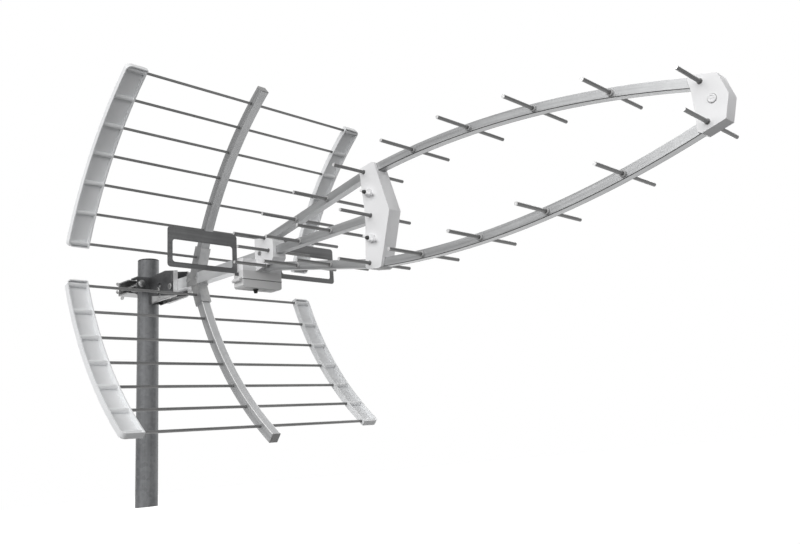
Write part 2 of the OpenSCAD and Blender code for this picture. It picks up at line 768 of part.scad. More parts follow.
// Outline of the middle bracket, upper half from the nose to the rear
mid_half_outline = [[mid_front, 0], [702, 65], [695, 86], [690, 88], [664, 84], [mid_rear, 80], [667, 12]];
module mirrored_outline(points) {
    polygon(concat(points, [for (i = [len(points) - 1 : -1 : 1]) [points[i][0], -points[i][1]]]));
}

module bolt_holes(y_half) {
    r = mid_bolt_d / 2 + run / 2;
    for (side = SIDES) along_y(mid_bolt_x, side * mid_bolt_z, -y_half - over, y_half + over, r);
}

module mid_bracket() {
    color(white_plastic) at_axis() difference() {
        side_plate(-mid_half, 2 * mid_half) mirrored_outline(mid_half_outline);
        for (side = SIDES) half(side) {
            translate([fan_front, 0, fan_height(fan_front)]) rotate([0, 180 - fan_angle, 0])
                bar_pocket(fan_front - mid_rear + bar_s);
            front_sweep(front_rear, front_end) square(bar_s + 2 * fit, center = true);
            mid_core();
        }
        translate([middle_front, 0, 0]) rotate([0, 180, 0]) bar_pocket(middle_front - mid_rear + bar_s);
        director_holes(mid_half);
        bolt_holes(mid_half);
    }
}

// The lightening pocket between the bracket's outer and middle sockets, open at the rear
module mid_core() {
    low = bar_s / 2 + fit + mould_wall;
    high = fan_height(mid_rear) - bar_s - mould_wall;
    front = mid_bolt_x - mid_bolt_d / 2 - 2 * mould_wall;
    translate([mid_rear - over, -mid_half + mould_wall, low])
        cube([front - mid_rear + over, 2 * mid_half - 2 * mould_wall, high - low]);
}

// Sweeps an outline along the front boom's curve between two distances from the mast
module front_sweep(x0, x1) {
    translate([front_apex_x, 0, front_apex_z - front_r]) rotate([90, 0, 0])
        rotate([0, 0, 90 - front_lean(x1)])
        rotate_extrude(angle = front_lean(x1) - front_lean(x0), $fn = 360) translate([front_r, 0]) children();
}

module bracket_bolts() {
    color(zinc) at_axis() for (side = SIDES) {
        along_y(mid_bolt_x, side * mid_bolt_z, -mid_half - nut_h - 5, mid_half + 1, mid_bolt_d / 2);
        along_y(mid_bolt_x, side * mid_bolt_z, mid_half, mid_half + head_h, mid_bolt_d * 0.85);
    }
}

module bracket_wing_nut(side) {
    color(white_plastic) at_axis() translate([mid_bolt_x, -mid_half - run, side * mid_bolt_z])
        rotate([90, 0, 0]) rotate([0, 0, -30]) wing_nut(mid_bolt_d);
}

module front_boom(side) {
    color(aluminium) at_axis() half(side) difference() {
        front_sweep(front_rear + 1, front_end) square_ring(bar_s, bar_wall);
        front_holes(bar_s / 2);
    }
}

module front_holes(y_half) {
    for (x = front_x) along_y(x, front_height(x), -y_half - over, y_half + over, director_d / 2 + run / 2);
}

cap_half_outline = [[cap_tip, 0], [1273, 29.5], [1241, 38], [1235, 34.5], [1237, 16]];

module front_cap() {
    color(white_plastic) at_axis() difference() {
        side_plate(-cap_half, 2 * cap_half) mirrored_outline(cap_half_outline);
        for (side = SIDES) half(side) {
            front_sweep(front_rear, front_end + 1) square(bar_s + 2 * fit, center = true);
            front_holes(cap_half);
        }
        along_y(cap_screw_x, 0, -2 * cap_half, 2 * cap_half, 2.5 + run / 2);
    }
}

module cap_screw() {
    color(white_plastic) at_axis() {
        along_y(cap_screw_x, 0, -cap_half - 1, cap_half + 1, 2.5);
        along_y(cap_screw_x, 0, -cap_half - 2, -cap_half, cap_screw_d / 2);
        along_y(cap_screw_x, 0, cap_half, cap_half + 2, cap_screw_d / 2);
    }
}

module director(x, z) {
    length = director_len + (director_front_len - director_len) * (x - rear_x[0]) / (front_x[4] - rear_x[0]);
    along_y(x, z, -length / 2, length / 2, director_d / 2);
}

module rear_directors() {
    color(zinc) at_axis() {
        for (x = rear_x, side = SIDES) director(x, side * fan_height(x));
        for (x = middle_x) director(x, 0);
    }
}

module front_directors(side) {
    color(zinc) at_axis() for (x = front_x) director(x, side * front_height(x));
}

// A collar pressed on a director on each face of its boom
module director_clip(x, z) {
    for (y0 = [-bar_s / 2 - clip_t, bar_s / 2]) difference() {
        along_y(x, z, y0, y0 + clip_t, clip_d / 2);
        along_y(x, z, -bar_s, bar_s, director_d / 2 + run / 2);
    }
}

module director_clips() {
    color(white_plastic) at_axis() {
        for (i = [1, 2], side = SIDES) director_clip(rear_x[i], side * fan_height(rear_x[i]));
        for (i = [1, 2]) director_clip(middle_x[i], 0);
        for (i = [0 : 3], side = SIDES) director_clip(front_x[i], side * front_height(front_x[i]));
    }
}

mast_tube();
mast_cap();
clamp_bracket();
clamp_jaw();
clamp_bolts();
clamp_wing_nut(-1);  // clamp_wing_nut_near
clamp_wing_nut(1);  // clamp_wing_nut_far
tilt_bolts();
tilt_nuts();
main_boom();
boom_end_plug();
reflector_hub();
hub_rivets();
spine(1);  // upper_spine
spine(-1);  // lower_spine
spine_plugs();
side_strip(1, false);  // upper_strip_near
side_strip(1, true);  // upper_strip_far
side_strip(-1, false);  // lower_strip_near
side_strip(-1, true);  // lower_strip_far
for (i = ROD_NUMBERS) reflector_rod(i, 1);
for (i = ROD_NUMBERS) reflector_rod(i, -1);
dipole_loop(-1);  // dipole_near
dipole_loop(1);  // dipole_far
boom_holder();
holder_screw();
dipole_box();
box_lid();
lid_hinge_pin();
circuit_board();
cable_socket();
terminal_screws();
cable_gland();
outer_rear_boom(1);  // upper_rear_boom
middle_rear_boom();
outer_rear_boom(-1);  // lower_rear_boom
mid_bracket();
bracket_bolts();
bracket_wing_nut(1);  // bracket_wing_nut_upper
bracket_wing_nut(-1);  // bracket_wing_nut_lower
front_boom(1);  // upper_front_boom
front_boom(-1);  // lower_front_boom
front_cap();
cap_screw();
rear_directors();
front_directors(1);  // upper_directors
front_directors(-1);  // lower_directors
director_clips();
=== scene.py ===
"""The looks of an outdoor tv antenna: its finishes, its small fittings, and a plain studio round it."""

import math

import bmesh
import bpy
from mathutils import Matrix, Vector


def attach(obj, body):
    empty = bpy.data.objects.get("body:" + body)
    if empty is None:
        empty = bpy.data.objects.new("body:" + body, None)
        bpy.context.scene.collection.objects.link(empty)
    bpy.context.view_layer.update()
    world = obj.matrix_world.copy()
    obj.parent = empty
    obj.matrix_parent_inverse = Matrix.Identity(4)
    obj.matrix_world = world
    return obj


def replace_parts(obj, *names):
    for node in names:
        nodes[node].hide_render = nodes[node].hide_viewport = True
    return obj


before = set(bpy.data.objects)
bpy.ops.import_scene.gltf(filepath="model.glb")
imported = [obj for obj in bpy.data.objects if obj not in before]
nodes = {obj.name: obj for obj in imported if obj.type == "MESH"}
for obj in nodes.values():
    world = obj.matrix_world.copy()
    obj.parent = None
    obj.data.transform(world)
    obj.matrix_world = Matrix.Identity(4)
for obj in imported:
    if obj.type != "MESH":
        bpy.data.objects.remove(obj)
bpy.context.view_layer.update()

# Places on the antenna, in metres
AXIS_Z = 0.420
CURVE_R = 0.655
CURVE_X = 0.192 + CURVE_R * math.cos(math.radians(20.8))
CURVE_Z = 0.0375 - CURVE_R * math.sin(math.radians(20.8))
BOW_R = 1.500
BOW_X = 0.834
BOW_Z = 0.085 - BOW_R
FAN_ANGLE = math.radians(10.9)
MM = 0.001
LIP_X = 0.1255
PAINTED_CORNER_EDGE = (-0.0012, -0.0008)
# The clamp's plates get painted light below a line that falls from above the mast end towards the front
LIT_WEDGE_X = 0.048
LIT_WEDGE_Z = AXIS_Z - 0.013
LIT_WEDGE_SLOPE = 0.16


# Shared shader groups

def shader_group(name, inputs, outputs):
    """An empty shader group with named sockets, and the nodes of its two ends."""
    group = bpy.data.node_groups.new(name, "ShaderNodeTree")
    for title, kind, value in inputs:
        socket = group.interface.new_socket(title, in_out="INPUT", socket_type=kind)
        if value is not None:
            socket.default_value = value
    for title, kind in outputs:
        group.interface.new_socket(title, in_out="OUTPUT", socket_type=kind)
    return group, group.nodes.new("NodeGroupInput"), group.nodes.new("NodeGroupOutput")


def put(tree, kind, links=None, **settings):
    """Adds a node, sets its properties, and links or sets its inputs by name or number."""
    node = tree.nodes.new(kind)
    for key, value in settings.items():
        setattr(node, key, value)
    for key, value in (links or {}).items():
        if isinstance(value, bpy.types.NodeSocket):
            tree.links.new(value, node.inputs[key])
        else:
            node.inputs[key].default_value = value
    return node


def math_node(tree, operation, a, b=0.0, clamp=False):
    return put(tree, "ShaderNodeMath", {0: a, 1: b}, operation=operation, use_clamp=clamp).outputs[0]


def span(tree, value, low, high, to_low=0.0, to_high=1.0):
    """Maps a value from one range to another, and holds it there."""
    links = {"Value": value, "From Min": low, "From Max": high, "To Min": to_low, "To Max": to_high}
    return put(tree, "ShaderNodeMapRange", links).outputs["Result"]


def blend_colours(tree, factor, dark, light):
    links = {0: factor, 6: dark, 7: light}
    return put(tree, "ShaderNodeMix", links, data_type="RGBA").outputs[2]


def noise(tree, vector, scale, detail=3.0, roughness=0.55):
    links = {"Vector": vector, "Scale": scale, "Detail": detail, "Roughness": roughness}
    return put(tree, "ShaderNodeTexNoise", links).outputs[0]


def stretched(tree, vector, along, across):
    """Scales a vector so that a pattern on it runs along X."""
    links = {0: vector, 1: (along, across, across)}
    return put(tree, "ShaderNodeVectorMath", links, operation="MULTIPLY").outputs[0]


def group_round_a_curve():
    """Straightens an arc in the XZ plane: X goes along the arc, and Z is the distance from its centre."""
    group, start, end = shader_group(
        "round_a_curve",
        [("Vector", "NodeSocketVector", None), ("Radius", "NodeSocketFloat", 1.0)],
        [("Vector", "NodeSocketVector")])
    parts = put(group, "ShaderNodeSeparateXYZ", {0: start.outputs["Vector"]})
    turn = math_node(group, "ARCTAN2", parts.outputs["Z"], parts.outputs["X"])
    along = math_node(group, "MULTIPLY", turn, start.outputs["Radius"])
    flat = put(group, "ShaderNodeCombineXYZ", {"X": parts.outputs["X"], "Y": 0.0, "Z": parts.outputs["Z"]})
    reach = put(group, "ShaderNodeVectorMath", {0: flat.outputs[0]}, operation="LENGTH").outputs["Value"]
    made = put(group, "ShaderNodeCombineXYZ", {"X": along, "Y": parts.outputs["Y"], "Z": reach})
    group.links.new(made.outputs[0], end.inputs["Vector"])
    return group


def group_drawn_lines():
    """Fine and coarse lines along X, as drawing and brushing leave them."""
    group, start, end = shader_group(
        "drawn_lines",
        [("Vector", "NodeSocketVector", None), ("Spread", "NodeSocketFloat", 1.0)],
        [("Lines", "NodeSocketFloat"), ("Streaks", "NodeSocketFloat")])
    vector = start.outputs["Vector"]
    fine = noise(group, stretched(group, vector, 12.0, 1900.0), 1.0, 4.0)
    coarse = noise(group, stretched(group, vector, 5.0, 330.0), start.outputs["Spread"], 3.0)
    lines = math_node(group, "ADD", math_node(group, "MULTIPLY", fine, 0.55),
                      math_node(group, "MULTIPLY", coarse, 0.45))
    group.links.new(span(group, lines, 0.32, 0.68), end.inputs["Lines"])
    group.links.new(span(group, coarse, 0.36, 0.64), end.inputs["Streaks"])
    return group


def group_spangle():
    """Crystals of a zinc bath: flat patches of slightly different greys with soft grain between them."""
    group, start, end = shader_group(
        "zinc_spangle",
        [("Vector", "NodeSocketVector", None), ("Scale", "NodeSocketFloat", 190.0)],
        [("Shade", "NodeSocketFloat"), ("Height", "NodeSocketFloat")])
    vector = start.outputs["Vector"]
    wobble = put(group, "ShaderNodeTexNoise", {"Vector": vector, "Scale": 220.0, "Detail": 2.0})
    shift = put(group, "ShaderNodeVectorMath", {0: wobble.outputs["Color"], 1: (0.004, 0.004, 0.004)},
                operation="MULTIPLY").outputs[0]
    moved = put(group, "ShaderNodeVectorMath", {0: vector, 1: shift}, operation="ADD").outputs[0]
    cells = put(group, "ShaderNodeTexVoronoi", {"Vector": moved, "Scale": start.outputs["Scale"]})
    tone = put(group, "ShaderNodeSeparateColor", {0: cells.outputs["Color"]}).outputs[0]
    cloud = noise(group, vector, 14.0, 4.0)
    shade = math_node(group, "ADD", math_node(group, "MULTIPLY", tone, 0.45),
                      math_node(group, "MULTIPLY", span(group, cloud, 0.35, 0.65), 0.55))
    group.links.new(shade, end.inputs["Shade"])
    group.links.new(noise(group, vector, 700.0, 2.0), end.inputs["Height"])
    return group


def group_clouds():
    """Broad soft patches between two values, for an uneven gloss or tone."""
    group, start, end = shader_group(
        "soft_clouds",
        [("Vector", "NodeSocketVector", None), ("Scale", "NodeSocketFloat", 20.0),
         ("Low", "NodeSocketFloat", 0.0), ("High", "NodeSocketFloat", 1.0)],
        [("Value", "NodeSocketFloat")])
    cloud = noise(group, start.outputs["Vector"], start.outputs["Scale"], 4.0, 0.6)
    out = span(group, cloud, 0.34, 0.66, start.outputs["Low"], start.outputs["High"])
    group.links.new(out, end.inputs["Value"])
    return group


def group_moulded_skin():
    """The fine eroded skin of a mould, with the faint flow of the plastic under it."""
    group, start, end = shader_group(
        "moulded_skin",
        [("Vector", "NodeSocketVector", None), ("Grain", "NodeSocketFloat", 1600.0)],
        [("Height", "NodeSocketFloat"), ("Flow", "NodeSocketFloat")])
    vector = start.outputs["Vector"]
    grain = noise(group, vector, start.outputs["Grain"], 2.0)
    sink = noise(group, vector, 26.0, 1.0)
    height = math_node(group, "ADD", math_node(group, "MULTIPLY", grain, 0.25),
                       math_node(group, "MULTIPLY", sink, 0.75))
    group.links.new(height, end.inputs["Height"])
    group.links.new(span(group, noise(group, vector, 9.0, 3.0), 0.35, 0.65), end.inputs["Flow"])
    return group


def group_cut_face():
    """A mask of the faces that look along an axis, such as the sawn ends of a rod."""
    group, start, end = shader_group(
        "cut_face",
        [("Normal", "NodeSocketVector", None), ("Axis", "NodeSocketVector", (0.0, 1.0, 0.0))],
        [("Mask", "NodeSocketFloat")])
    links = {0: start.outputs["Normal"], 1: start.outputs["Axis"]}
    facing = put(group, "ShaderNodeVectorMath", links, operation="DOT_PRODUCT").outputs["Value"]
    size = math_node(group, "ABSOLUTE", facing)
    group.links.new(span(group, size, 0.85, 0.95), end.inputs["Mask"])
    return group


def group_painted_corner():
    """A mask of the strip along one corner of a bowed tube, for the painted dark reflections and painted
    highlights along tube corners. Side is 1 on its outside, -1 on its inside.
    """
    group, start, end = shader_group(
        "painted_corner",
        [("Vector", "NodeSocketVector", None), ("Radius", "NodeSocketFloat", 1.0),
         ("Side", "NodeSocketFloat", 1.0), ("Half", "NodeSocketFloat", 0.007)],
        [("Mask", "NodeSocketFloat")])
    parts = put(group, "ShaderNodeSeparateXYZ", {0: start.outputs["Vector"]})
    outwards = math_node(group, "SUBTRACT", parts.outputs["Z"], start.outputs["Radius"])
    off = math_node(group, "MULTIPLY", outwards, start.outputs["Side"])
    over = math_node(group, "SUBTRACT", off, start.outputs["Half"])
    aside = math_node(group, "ABSOLUTE", parts.outputs["Y"])
    out = math_node(group, "SUBTRACT", aside, start.outputs["Half"])
    strip = math_node(group, "MULTIPLY", span(group, over, *PAINTED_CORNER_EDGE), span(group, out, *PAINTED_CORNER_EDGE))
    group.links.new(strip, end.inputs["Mask"])
    return group


ROUND_A_CURVE = group_round_a_curve()
PAINTED_CORNER = group_painted_corner()
DRAWN_LINES = group_drawn_lines()
SPANGLE = group_spangle()
CLOUDS = group_clouds()
MOULDED_SKIN = group_moulded_skin()
CUT_FACE = group_cut_face()


# Materials

def place(tree, group, **links):
    node = tree.nodes.new("ShaderNodeGroup")
    node.node_tree = group
    for key, value in links.items():
        if isinstance(value, bpy.types.NodeSocket):
            tree.links.new(value, node.inputs[key])
        else:
            node.inputs[key].default_value = value
    return node.outputs


def blank_material(name):
    """A material with its Principled shader, its tree and its object coordinates."""
    made = bpy.data.materials.new(name)
    made.use_nodes = True
    tree = made.node_tree
    shader = tree.nodes["Principled BSDF"]
    where = tree.nodes.new("ShaderNodeTexCoord")
    return made, tree, shader, where


def finish_shader(tree, shader, colour, rough, height=None, depth=0.0001, strength=0.3, **fixed):
    """Feeds colour, roughness and bump to the shader, and sets its constant sockets."""
    tree.links.new(colour, shader.inputs["Base Color"])
    tree.links.new(rough, shader.inputs["Roughness"])
    if height is not None:
        bump = put(tree, "ShaderNodeBump", {"Height": height, "Distance": depth, "Strength": strength})
        tree.links.new(bump.outputs["Normal"], shader.inputs["Normal"])
    for key, value in fixed.items():
        shader.inputs[key.replace("_", " ")].default_value = value


def grey(value, tint=(1.0, 1.0, 1.0)):
    return (value * tint[0], value * tint[1], value * tint[2], 1.0)


def along(tree, where, kind):
    """Object coordinates with X along the piece, whose kind is a shape and, if it has one, a side."""
    shape, _, side = kind.partition(" ")
    sign = -1.0 if side == "lower" else 1.0
    settings = {"Vector": where.outputs["Object"]}
    if shape == "fan":
        settings["Rotation"] = (0.0, sign * FAN_ANGLE, 0.0)
    if shape == "upright":
        settings["Rotation"] = (0.0, math.pi / 2, 0.0)
    if shape == "across":
        settings["Rotation"] = (0.0, 0.0, math.pi / 2)
    if shape in ("spine", "bow"):
        x, z = (CURVE_X, CURVE_Z) if shape == "spine" else (BOW_X, BOW_Z)
        settings["Scale"] = (1.0, 1.0, sign)
        settings["Location"] = (-x, 0.0, -sign * AXIS_Z - z)
    mapped = put(tree, "ShaderNodeMapping", settings).outputs[0]
    if shape in ("spine", "bow"):
        radius = CURVE_R if shape == "spine" else BOW_R
        return place(tree, ROUND_A_CURVE, Vector=mapped, Radius=radius)["Vector"]
    return mapped


def aluminium(kind, dark=0.34, light=0.50, name="aluminium"):
    """Brushed aluminium, lined along the piece, with a painted dark reflection along one corner of the
    bowed booms and a painted highlight along one corner of the lower spine.
    """
    made, tree, shader, where = blank_material(name + "_" + kind.replace(" ", "_"))
    vector = along(tree, where, kind)
    lines = place(tree, DRAWN_LINES, Vector=vector, Spread=1.0)
    tone = place(tree, CLOUDS, Vector=vector, Scale=16.0, Low=0.25, High=0.75)["Value"]
    mixed = math_node(tree, "ADD", math_node(tree, "MULTIPLY", lines["Lines"], 0.5),
                      math_node(tree, "MULTIPLY", tone, 0.5))
    colour = blend_colours(tree, mixed, grey(dark, (1.0, 1.01, 1.02)), grey(light, (1.0, 1.01, 1.02)))
    if kind.startswith("bow"):
        lower_edge = 1.0 if kind.endswith("lower") else -1.0
        # Painted dark reflection: a dark strip along one corner of the bowed booms
        dark_reflection = place(tree, PAINTED_CORNER, Vector=vector, Radius=BOW_R, Side=lower_edge)["Mask"]
        colour = blend_colours(tree, dark_reflection, colour, grey(0.05))
    if kind == "spine lower":
        # Painted highlight: a bright strip along one corner of the lower spine
        painted_light = place(tree, PAINTED_CORNER, Vector=vector, Radius=CURVE_R, Side=-1.0, Half=0.0085)["Mask"]
        colour = blend_colours(tree, painted_light, colour, grey(0.92))
    rough = span(tree, lines["Streaks"], 0.0, 1.0, 0.34, 0.46)
    finish_shader(tree, shader, colour, rough, lines["Lines"], 0.00008, 0.22, Metallic=0.85)
    return made


def galvanised_steel():
    """Hot-dip galvanised tube: dull spangles and a faint run down its length."""
    made, tree, shader, where = blank_material("galvanised_steel")
    vector = where.outputs["Object"]
    spangle = place(tree, SPANGLE, Vector=vector, Scale=170.0)
    run = place(tree, DRAWN_LINES, Vector=along(tree, where, "upright"), Spread=0.5)["Streaks"]
    shade = math_node(tree, "ADD", math_node(tree, "MULTIPLY", spangle["Shade"], 0.75),
                      math_node(tree, "MULTIPLY", run, 0.25))
    colour = blend_colours(tree, shade, grey(0.10, (0.98, 1.0, 1.03)), grey(0.22, (0.98, 1.0, 1.03)))
    rough = span(tree, shade, 0.0, 1.0, 0.60, 0.76)
    finish_shader(tree, shader, colour, rough, spangle["Height"], 0.0002, 0.25, Metallic=0.75)
    return made


def zinc_steel(name, dark, light, base_rough):
    """Zinc plated pressed steel, satin, with a slightly uneven passivated tone."""
    made, tree, shader, where = blank_material(name)
    vector = where.outputs["Object"]
    spangle = place(tree, SPANGLE, Vector=vector, Scale=520.0)
    tone = place(tree, CLOUDS, Vector=vector, Scale=38.0, Low=0.0, High=1.0)["Value"]
    shade = math_node(tree, "ADD", math_node(tree, "MULTIPLY", spangle["Shade"], 0.4),
                      math_node(tree, "MULTIPLY", tone, 0.6))
    colour = blend_colours(tree, shade, grey(dark, (0.99, 1.0, 1.03)), grey(light, (1.0, 1.0, 0.99)))
    rough = span(tree, tone, 0.0, 1.0, base_rough, base_rough + 0.14)
    finish_shader(tree, shader, colour, rough, spangle["Height"], 0.0001, 0.2, Metallic=0.85)
    return made


def steel_with_painted_light(name, dark, light, lit_tone):
    """Pressed steel with painted light and shade: its broad sides dark as painted shade, a painted
    highlight on its front edges and painted light low on its plates.
    """
    made, tree, shader, where = blank_material(name)
    spangle = place(tree, SPANGLE, Vector=where.outputs["Object"], Scale=420.0)
    tone = place(tree, CLOUDS, Vector=where.outputs["Object"], Scale=34.0, Low=0.0, High=1.0)["Value"]
    shade = math_node(tree, "ADD", math_node(tree, "MULTIPLY", spangle["Shade"], 0.45),
                      math_node(tree, "MULTIPLY", tone, 0.55))
    front = place(tree, CUT_FACE, Normal=where.outputs["Normal"], Axis=(1.0, 0.0, 0.0))["Mask"]
    forward = put(tree, "ShaderNodeSeparateXYZ", {0: where.outputs["Object"]}).outputs["X"]
    lip = span(tree, forward, LIP_X - 2 * MM, LIP_X)
    slope = math_node(tree, "MULTIPLY_ADD", forward, -LIT_WEDGE_SLOPE)
    slope.node.inputs[2].default_value = LIT_WEDGE_Z + LIT_WEDGE_SLOPE * LIT_WEDGE_X
    height = put(tree, "ShaderNodeSeparateXYZ", {0: where.outputs["Object"]}).outputs["Z"]
    below = span(tree, math_node(tree, "SUBTRACT", slope, height), 0.0, 0.8 * MM)
    plate = span(tree, forward, LIT_WEDGE_X - 12 * MM, LIT_WEDGE_X - 8 * MM)
    # Painted light: a highlight on the front lip and a lit wedge low on the plates, made patchy by the tone
    painted_light = math_node(tree, "MAXIMUM", math_node(tree, "MULTIPLY", front, lip),
                       math_node(tree, "MULTIPLY", below, plate))
    patchy_painted_light = math_node(tree, "MULTIPLY", painted_light, span(tree, tone, 0.0, 1.0, 0.75, 1.0))
    # Painted shade: the broad sides keep the dark colour
    sides = blend_colours(tree, shade, grey(dark, (0.99, 1.0, 1.03)), grey(light, (0.99, 1.0, 1.03)))
    colour = blend_colours(tree, patchy_painted_light, sides, grey(lit_tone))
    rough = span(tree, tone, 0.0, 1.0, 0.34, 0.5)
    finish_shader(tree, shader, colour, rough, spangle["Height"], 0.0001, 0.25, Metallic=0.8)
    return made


def rod_metal(name, dark, light):
    """Drawn rod along Y: dark satin sides and bright sawn ends."""
    made, tree, shader, where = blank_material(name)
    vector = along(tree, where, "across")
    lines = place(tree, DRAWN_LINES, Vector=vector, Spread=2.0)
    side = blend_colours(tree, lines["Lines"], grey(dark), grey(light))
    ends = place(tree, CUT_FACE, Normal=where.outputs["Normal"])["Mask"]
    colour = blend_colours(tree, ends, side, grey(0.85))
    rough = span(tree, lines["Streaks"], 0.0, 1.0, 0.30, 0.42)
    finish_shader(tree, shader, colour, rough, lines["Lines"], 0.00005, 0.25, Metallic=0.8)
    return made


def moulded_plastic(name, dark, light, rough_low, rough_high, grain=1600.0, strength=0.15, **fixed):
    """Injection moulded plastic: a fine skin, a faint flow and an uneven gloss."""
    made, tree, shader, where = blank_material(name)
    vector = where.outputs["Object"]
    skin = place(tree, MOULDED_SKIN, Vector=vector, Grain=grain)
    colour = blend_colours(tree, skin["Flow"], dark, light)
    rough = place(tree, CLOUDS, Vector=vector, Scale=30.0, Low=rough_low, High=rough_high)["Value"]
    finish_shader(tree, shader, colour, rough, skin["Height"], 0.0004, strength, **fixed)
    return made


def board_resin():
    """Glass-filled board: green lacquer with the weave of the glass showing faintly."""
    made, tree, shader, where = blank_material("board_resin")
    vector = where.outputs["Object"]
    one_way = place(tree, DRAWN_LINES, Vector=vector, Spread=4.0)["Lines"]
    other_way = place(tree, DRAWN_LINES, Vector=along(tree, where, "across"), Spread=4.0)["Lines"]
    weave = math_node(tree, "MULTIPLY", one_way, other_way)
    colour = blend_colours(tree, weave, (0.012, 0.09, 0.03, 1.0), (0.03, 0.17, 0.06, 1.0))
    rough = span(tree, weave, 0.0, 1.0, 0.25, 0.4)
    finish_shader(tree, shader, colour, rough, weave, 0.00005, 0.2)
    return made


def plated_brass(name, dark, light):
    """A bright warm metal with fine turning lines."""
    made, tree, shader, where = blank_material(name)
    lines = place(tree, DRAWN_LINES, Vector=where.outputs["Object"], Spread=3.0)
    colour = blend_colours(tree, lines["Lines"], dark, light)
    rough = span(tree, lines["Streaks"], 0.0, 1.0, 0.2, 0.32)
    finish_shader(tree, shader, colour, rough, lines["Lines"], 0.00005, 0.2, Metallic=1.0)
    return made


WHITE = moulded_plastic("white_plastic", grey(0.80, (0.99, 0.99, 1.0)), grey(0.87, (0.99, 0.99, 1.0)),
                        0.36, 0.46, 900.0, 0.08, Coat_Weight=0.05)
BOX_GREY = moulded_plastic("grey_plastic", grey(0.66), grey(0.74), 0.36, 0.48, 1100.0, 0.22)
STRIP = moulded_plastic("strip_plastic", grey(0.80, (0.99, 1.0, 1.01)), grey(0.87, (0.99, 1.0, 1.01)),
                        0.36, 0.48, 1000.0, 0.1, Coat_Weight=0.06)
# Plug grey is the spine plugs' own colour, and painted shade for the hole rims and the gap round the cap
# screw
PLUG_GREY_AND_SHADE = moulded_plastic("plug_plastic_and_painted_shade", grey(0.26), grey(0.34), 0.4, 0.5)
CLIP_GREY = moulded_plastic("clip_plastic", grey(0.36), grey(0.46), 0.3, 0.42)
# Painted shade for the split line between the box and its lid
SPLIT_SHADE_GREY = moulded_plastic("painted_split_shade", grey(0.05), grey(0.09), 0.5, 0.6)
BLACK = moulded_plastic("black_plastic", grey(0.012), grey(0.024), 0.5, 0.62, 1100.0, 0.25,
                        Specular_IOR_Level=0.25)
DIPOLE_SHEET = aluminium("across", 0.10, 0.20, "dipole_sheet")
# Copies of one aluminium at different tones, as painted light and shade: the upper spine darker, the lower
# spine and the main boom lighter
UPPER_SPINE = aluminium("spine upper", 0.26, 0.42, "upper_spine")
LOWER_SPINE = aluminium("spine lower", 0.38, 0.54, "lower_spine")
MAIN_BOOM = aluminium("straight", 0.56, 0.72, "main_boom")
GALVANISED = galvanised_steel()
ZINC = zinc_steel("zinc_steel", 0.30, 0.46, 0.30)
CLAMP_STEEL = steel_with_painted_light("clamp_steel", 0.06, 0.15, 0.66)
BOLT_STEEL = zinc_steel("bolt_steel", 0.14, 0.30, 0.28)
DARK_BOLT = zinc_steel("dark_bolt", 0.02, 0.06, 0.34)
ROD = rod_metal("bright_rod", 0.11, 0.21)
BOARD = board_resin()
NICKEL = plated_brass("nickelled_brass", grey(0.5, (1.0, 0.95, 0.82)), grey(0.68, (1.0, 0.96, 0.86)))
COPPER = plated_brass("winding_wire", (0.42, 0.15, 0.05, 1.0), (0.6, 0.24, 0.09, 1.0))
ALUMINIUM = {kind: aluminium(kind) for kind in (
    "straight", "fan upper", "fan lower", "bow upper", "bow lower")}

FINISH = {
    "mast_tube": GALVANISED,
    "mast_cap": BLACK,
    "boom_end_plug": BLACK,
    "main_boom": MAIN_BOOM,
    "middle_rear_boom": ALUMINIUM["straight"],
    "upper_rear_boom": ALUMINIUM["fan upper"],
    "lower_rear_boom": ALUMINIUM["fan lower"],
    "upper_front_boom": ALUMINIUM["bow upper"],
    "lower_front_boom": ALUMINIUM["bow lower"],
    "upper_spine": UPPER_SPINE,
    "lower_spine": LOWER_SPINE,
    "dipole_near": DIPOLE_SHEET,
    "dipole_far": DIPOLE_SHEET,
    "clamp_bracket": CLAMP_STEEL,
    "spine_plugs": PLUG_GREY_AND_SHADE,
    "director_clips": CLIP_GREY,
    "boom_holder": WHITE,
    "mid_bracket": WHITE,
    "front_cap": WHITE,
    "dipole_box": BOX_GREY,
    "box_lid": BOX_GREY,
    "circuit_board": BOARD,
    "cable_socket": NICKEL,
}


def finish_of(name):
    if name in FINISH:
        return FINISH[name]
    if "_rod_" in name or name.endswith("_directors"):
        return ROD
    if "_strip_" in name:
        return STRIP
    return ZINC


def group_smooth_by_angle(limit):
    """Geometry nodes that shade smooth, apart from the edges that are sharper than the limit."""
    group = bpy.data.node_groups.new("smooth_by_angle", "GeometryNodeTree")
    group.interface.new_socket("Geometry", in_out="INPUT", socket_type="NodeSocketGeometry")
    group.interface.new_socket("Geometry", in_out="OUTPUT", socket_type="NodeSocketGeometry")
    start = group.nodes.new("NodeGroupInput")
    end = group.nodes.new("NodeGroupOutput")
    angle = group.nodes.new("GeometryNodeInputMeshEdgeAngle")
    sharp = put(group, "FunctionNodeCompare", {0: angle.outputs["Unsigned Angle"], 1: limit},
                operation="LESS_EQUAL")
    faces = put(group, "GeometryNodeSetShadeSmooth",
                {"Geometry": start.outputs[0], "Shade Smooth": True}, domain="FACE")
    edges = put(group, "GeometryNodeSetShadeSmooth",
                {"Geometry": faces.outputs[0], "Shade Smooth": sharp.outputs[0]}, domain="EDGE")
    group.links.new(edges.outputs[0], end.inputs[0])
    return group


SMOOTH = group_smooth_by_angle(math.radians(32))
WELD_REACH = 0.001 * MM
FLAT_WITHIN = math.radians(0.3)
ROUNDED_FROM = math.radians(35)

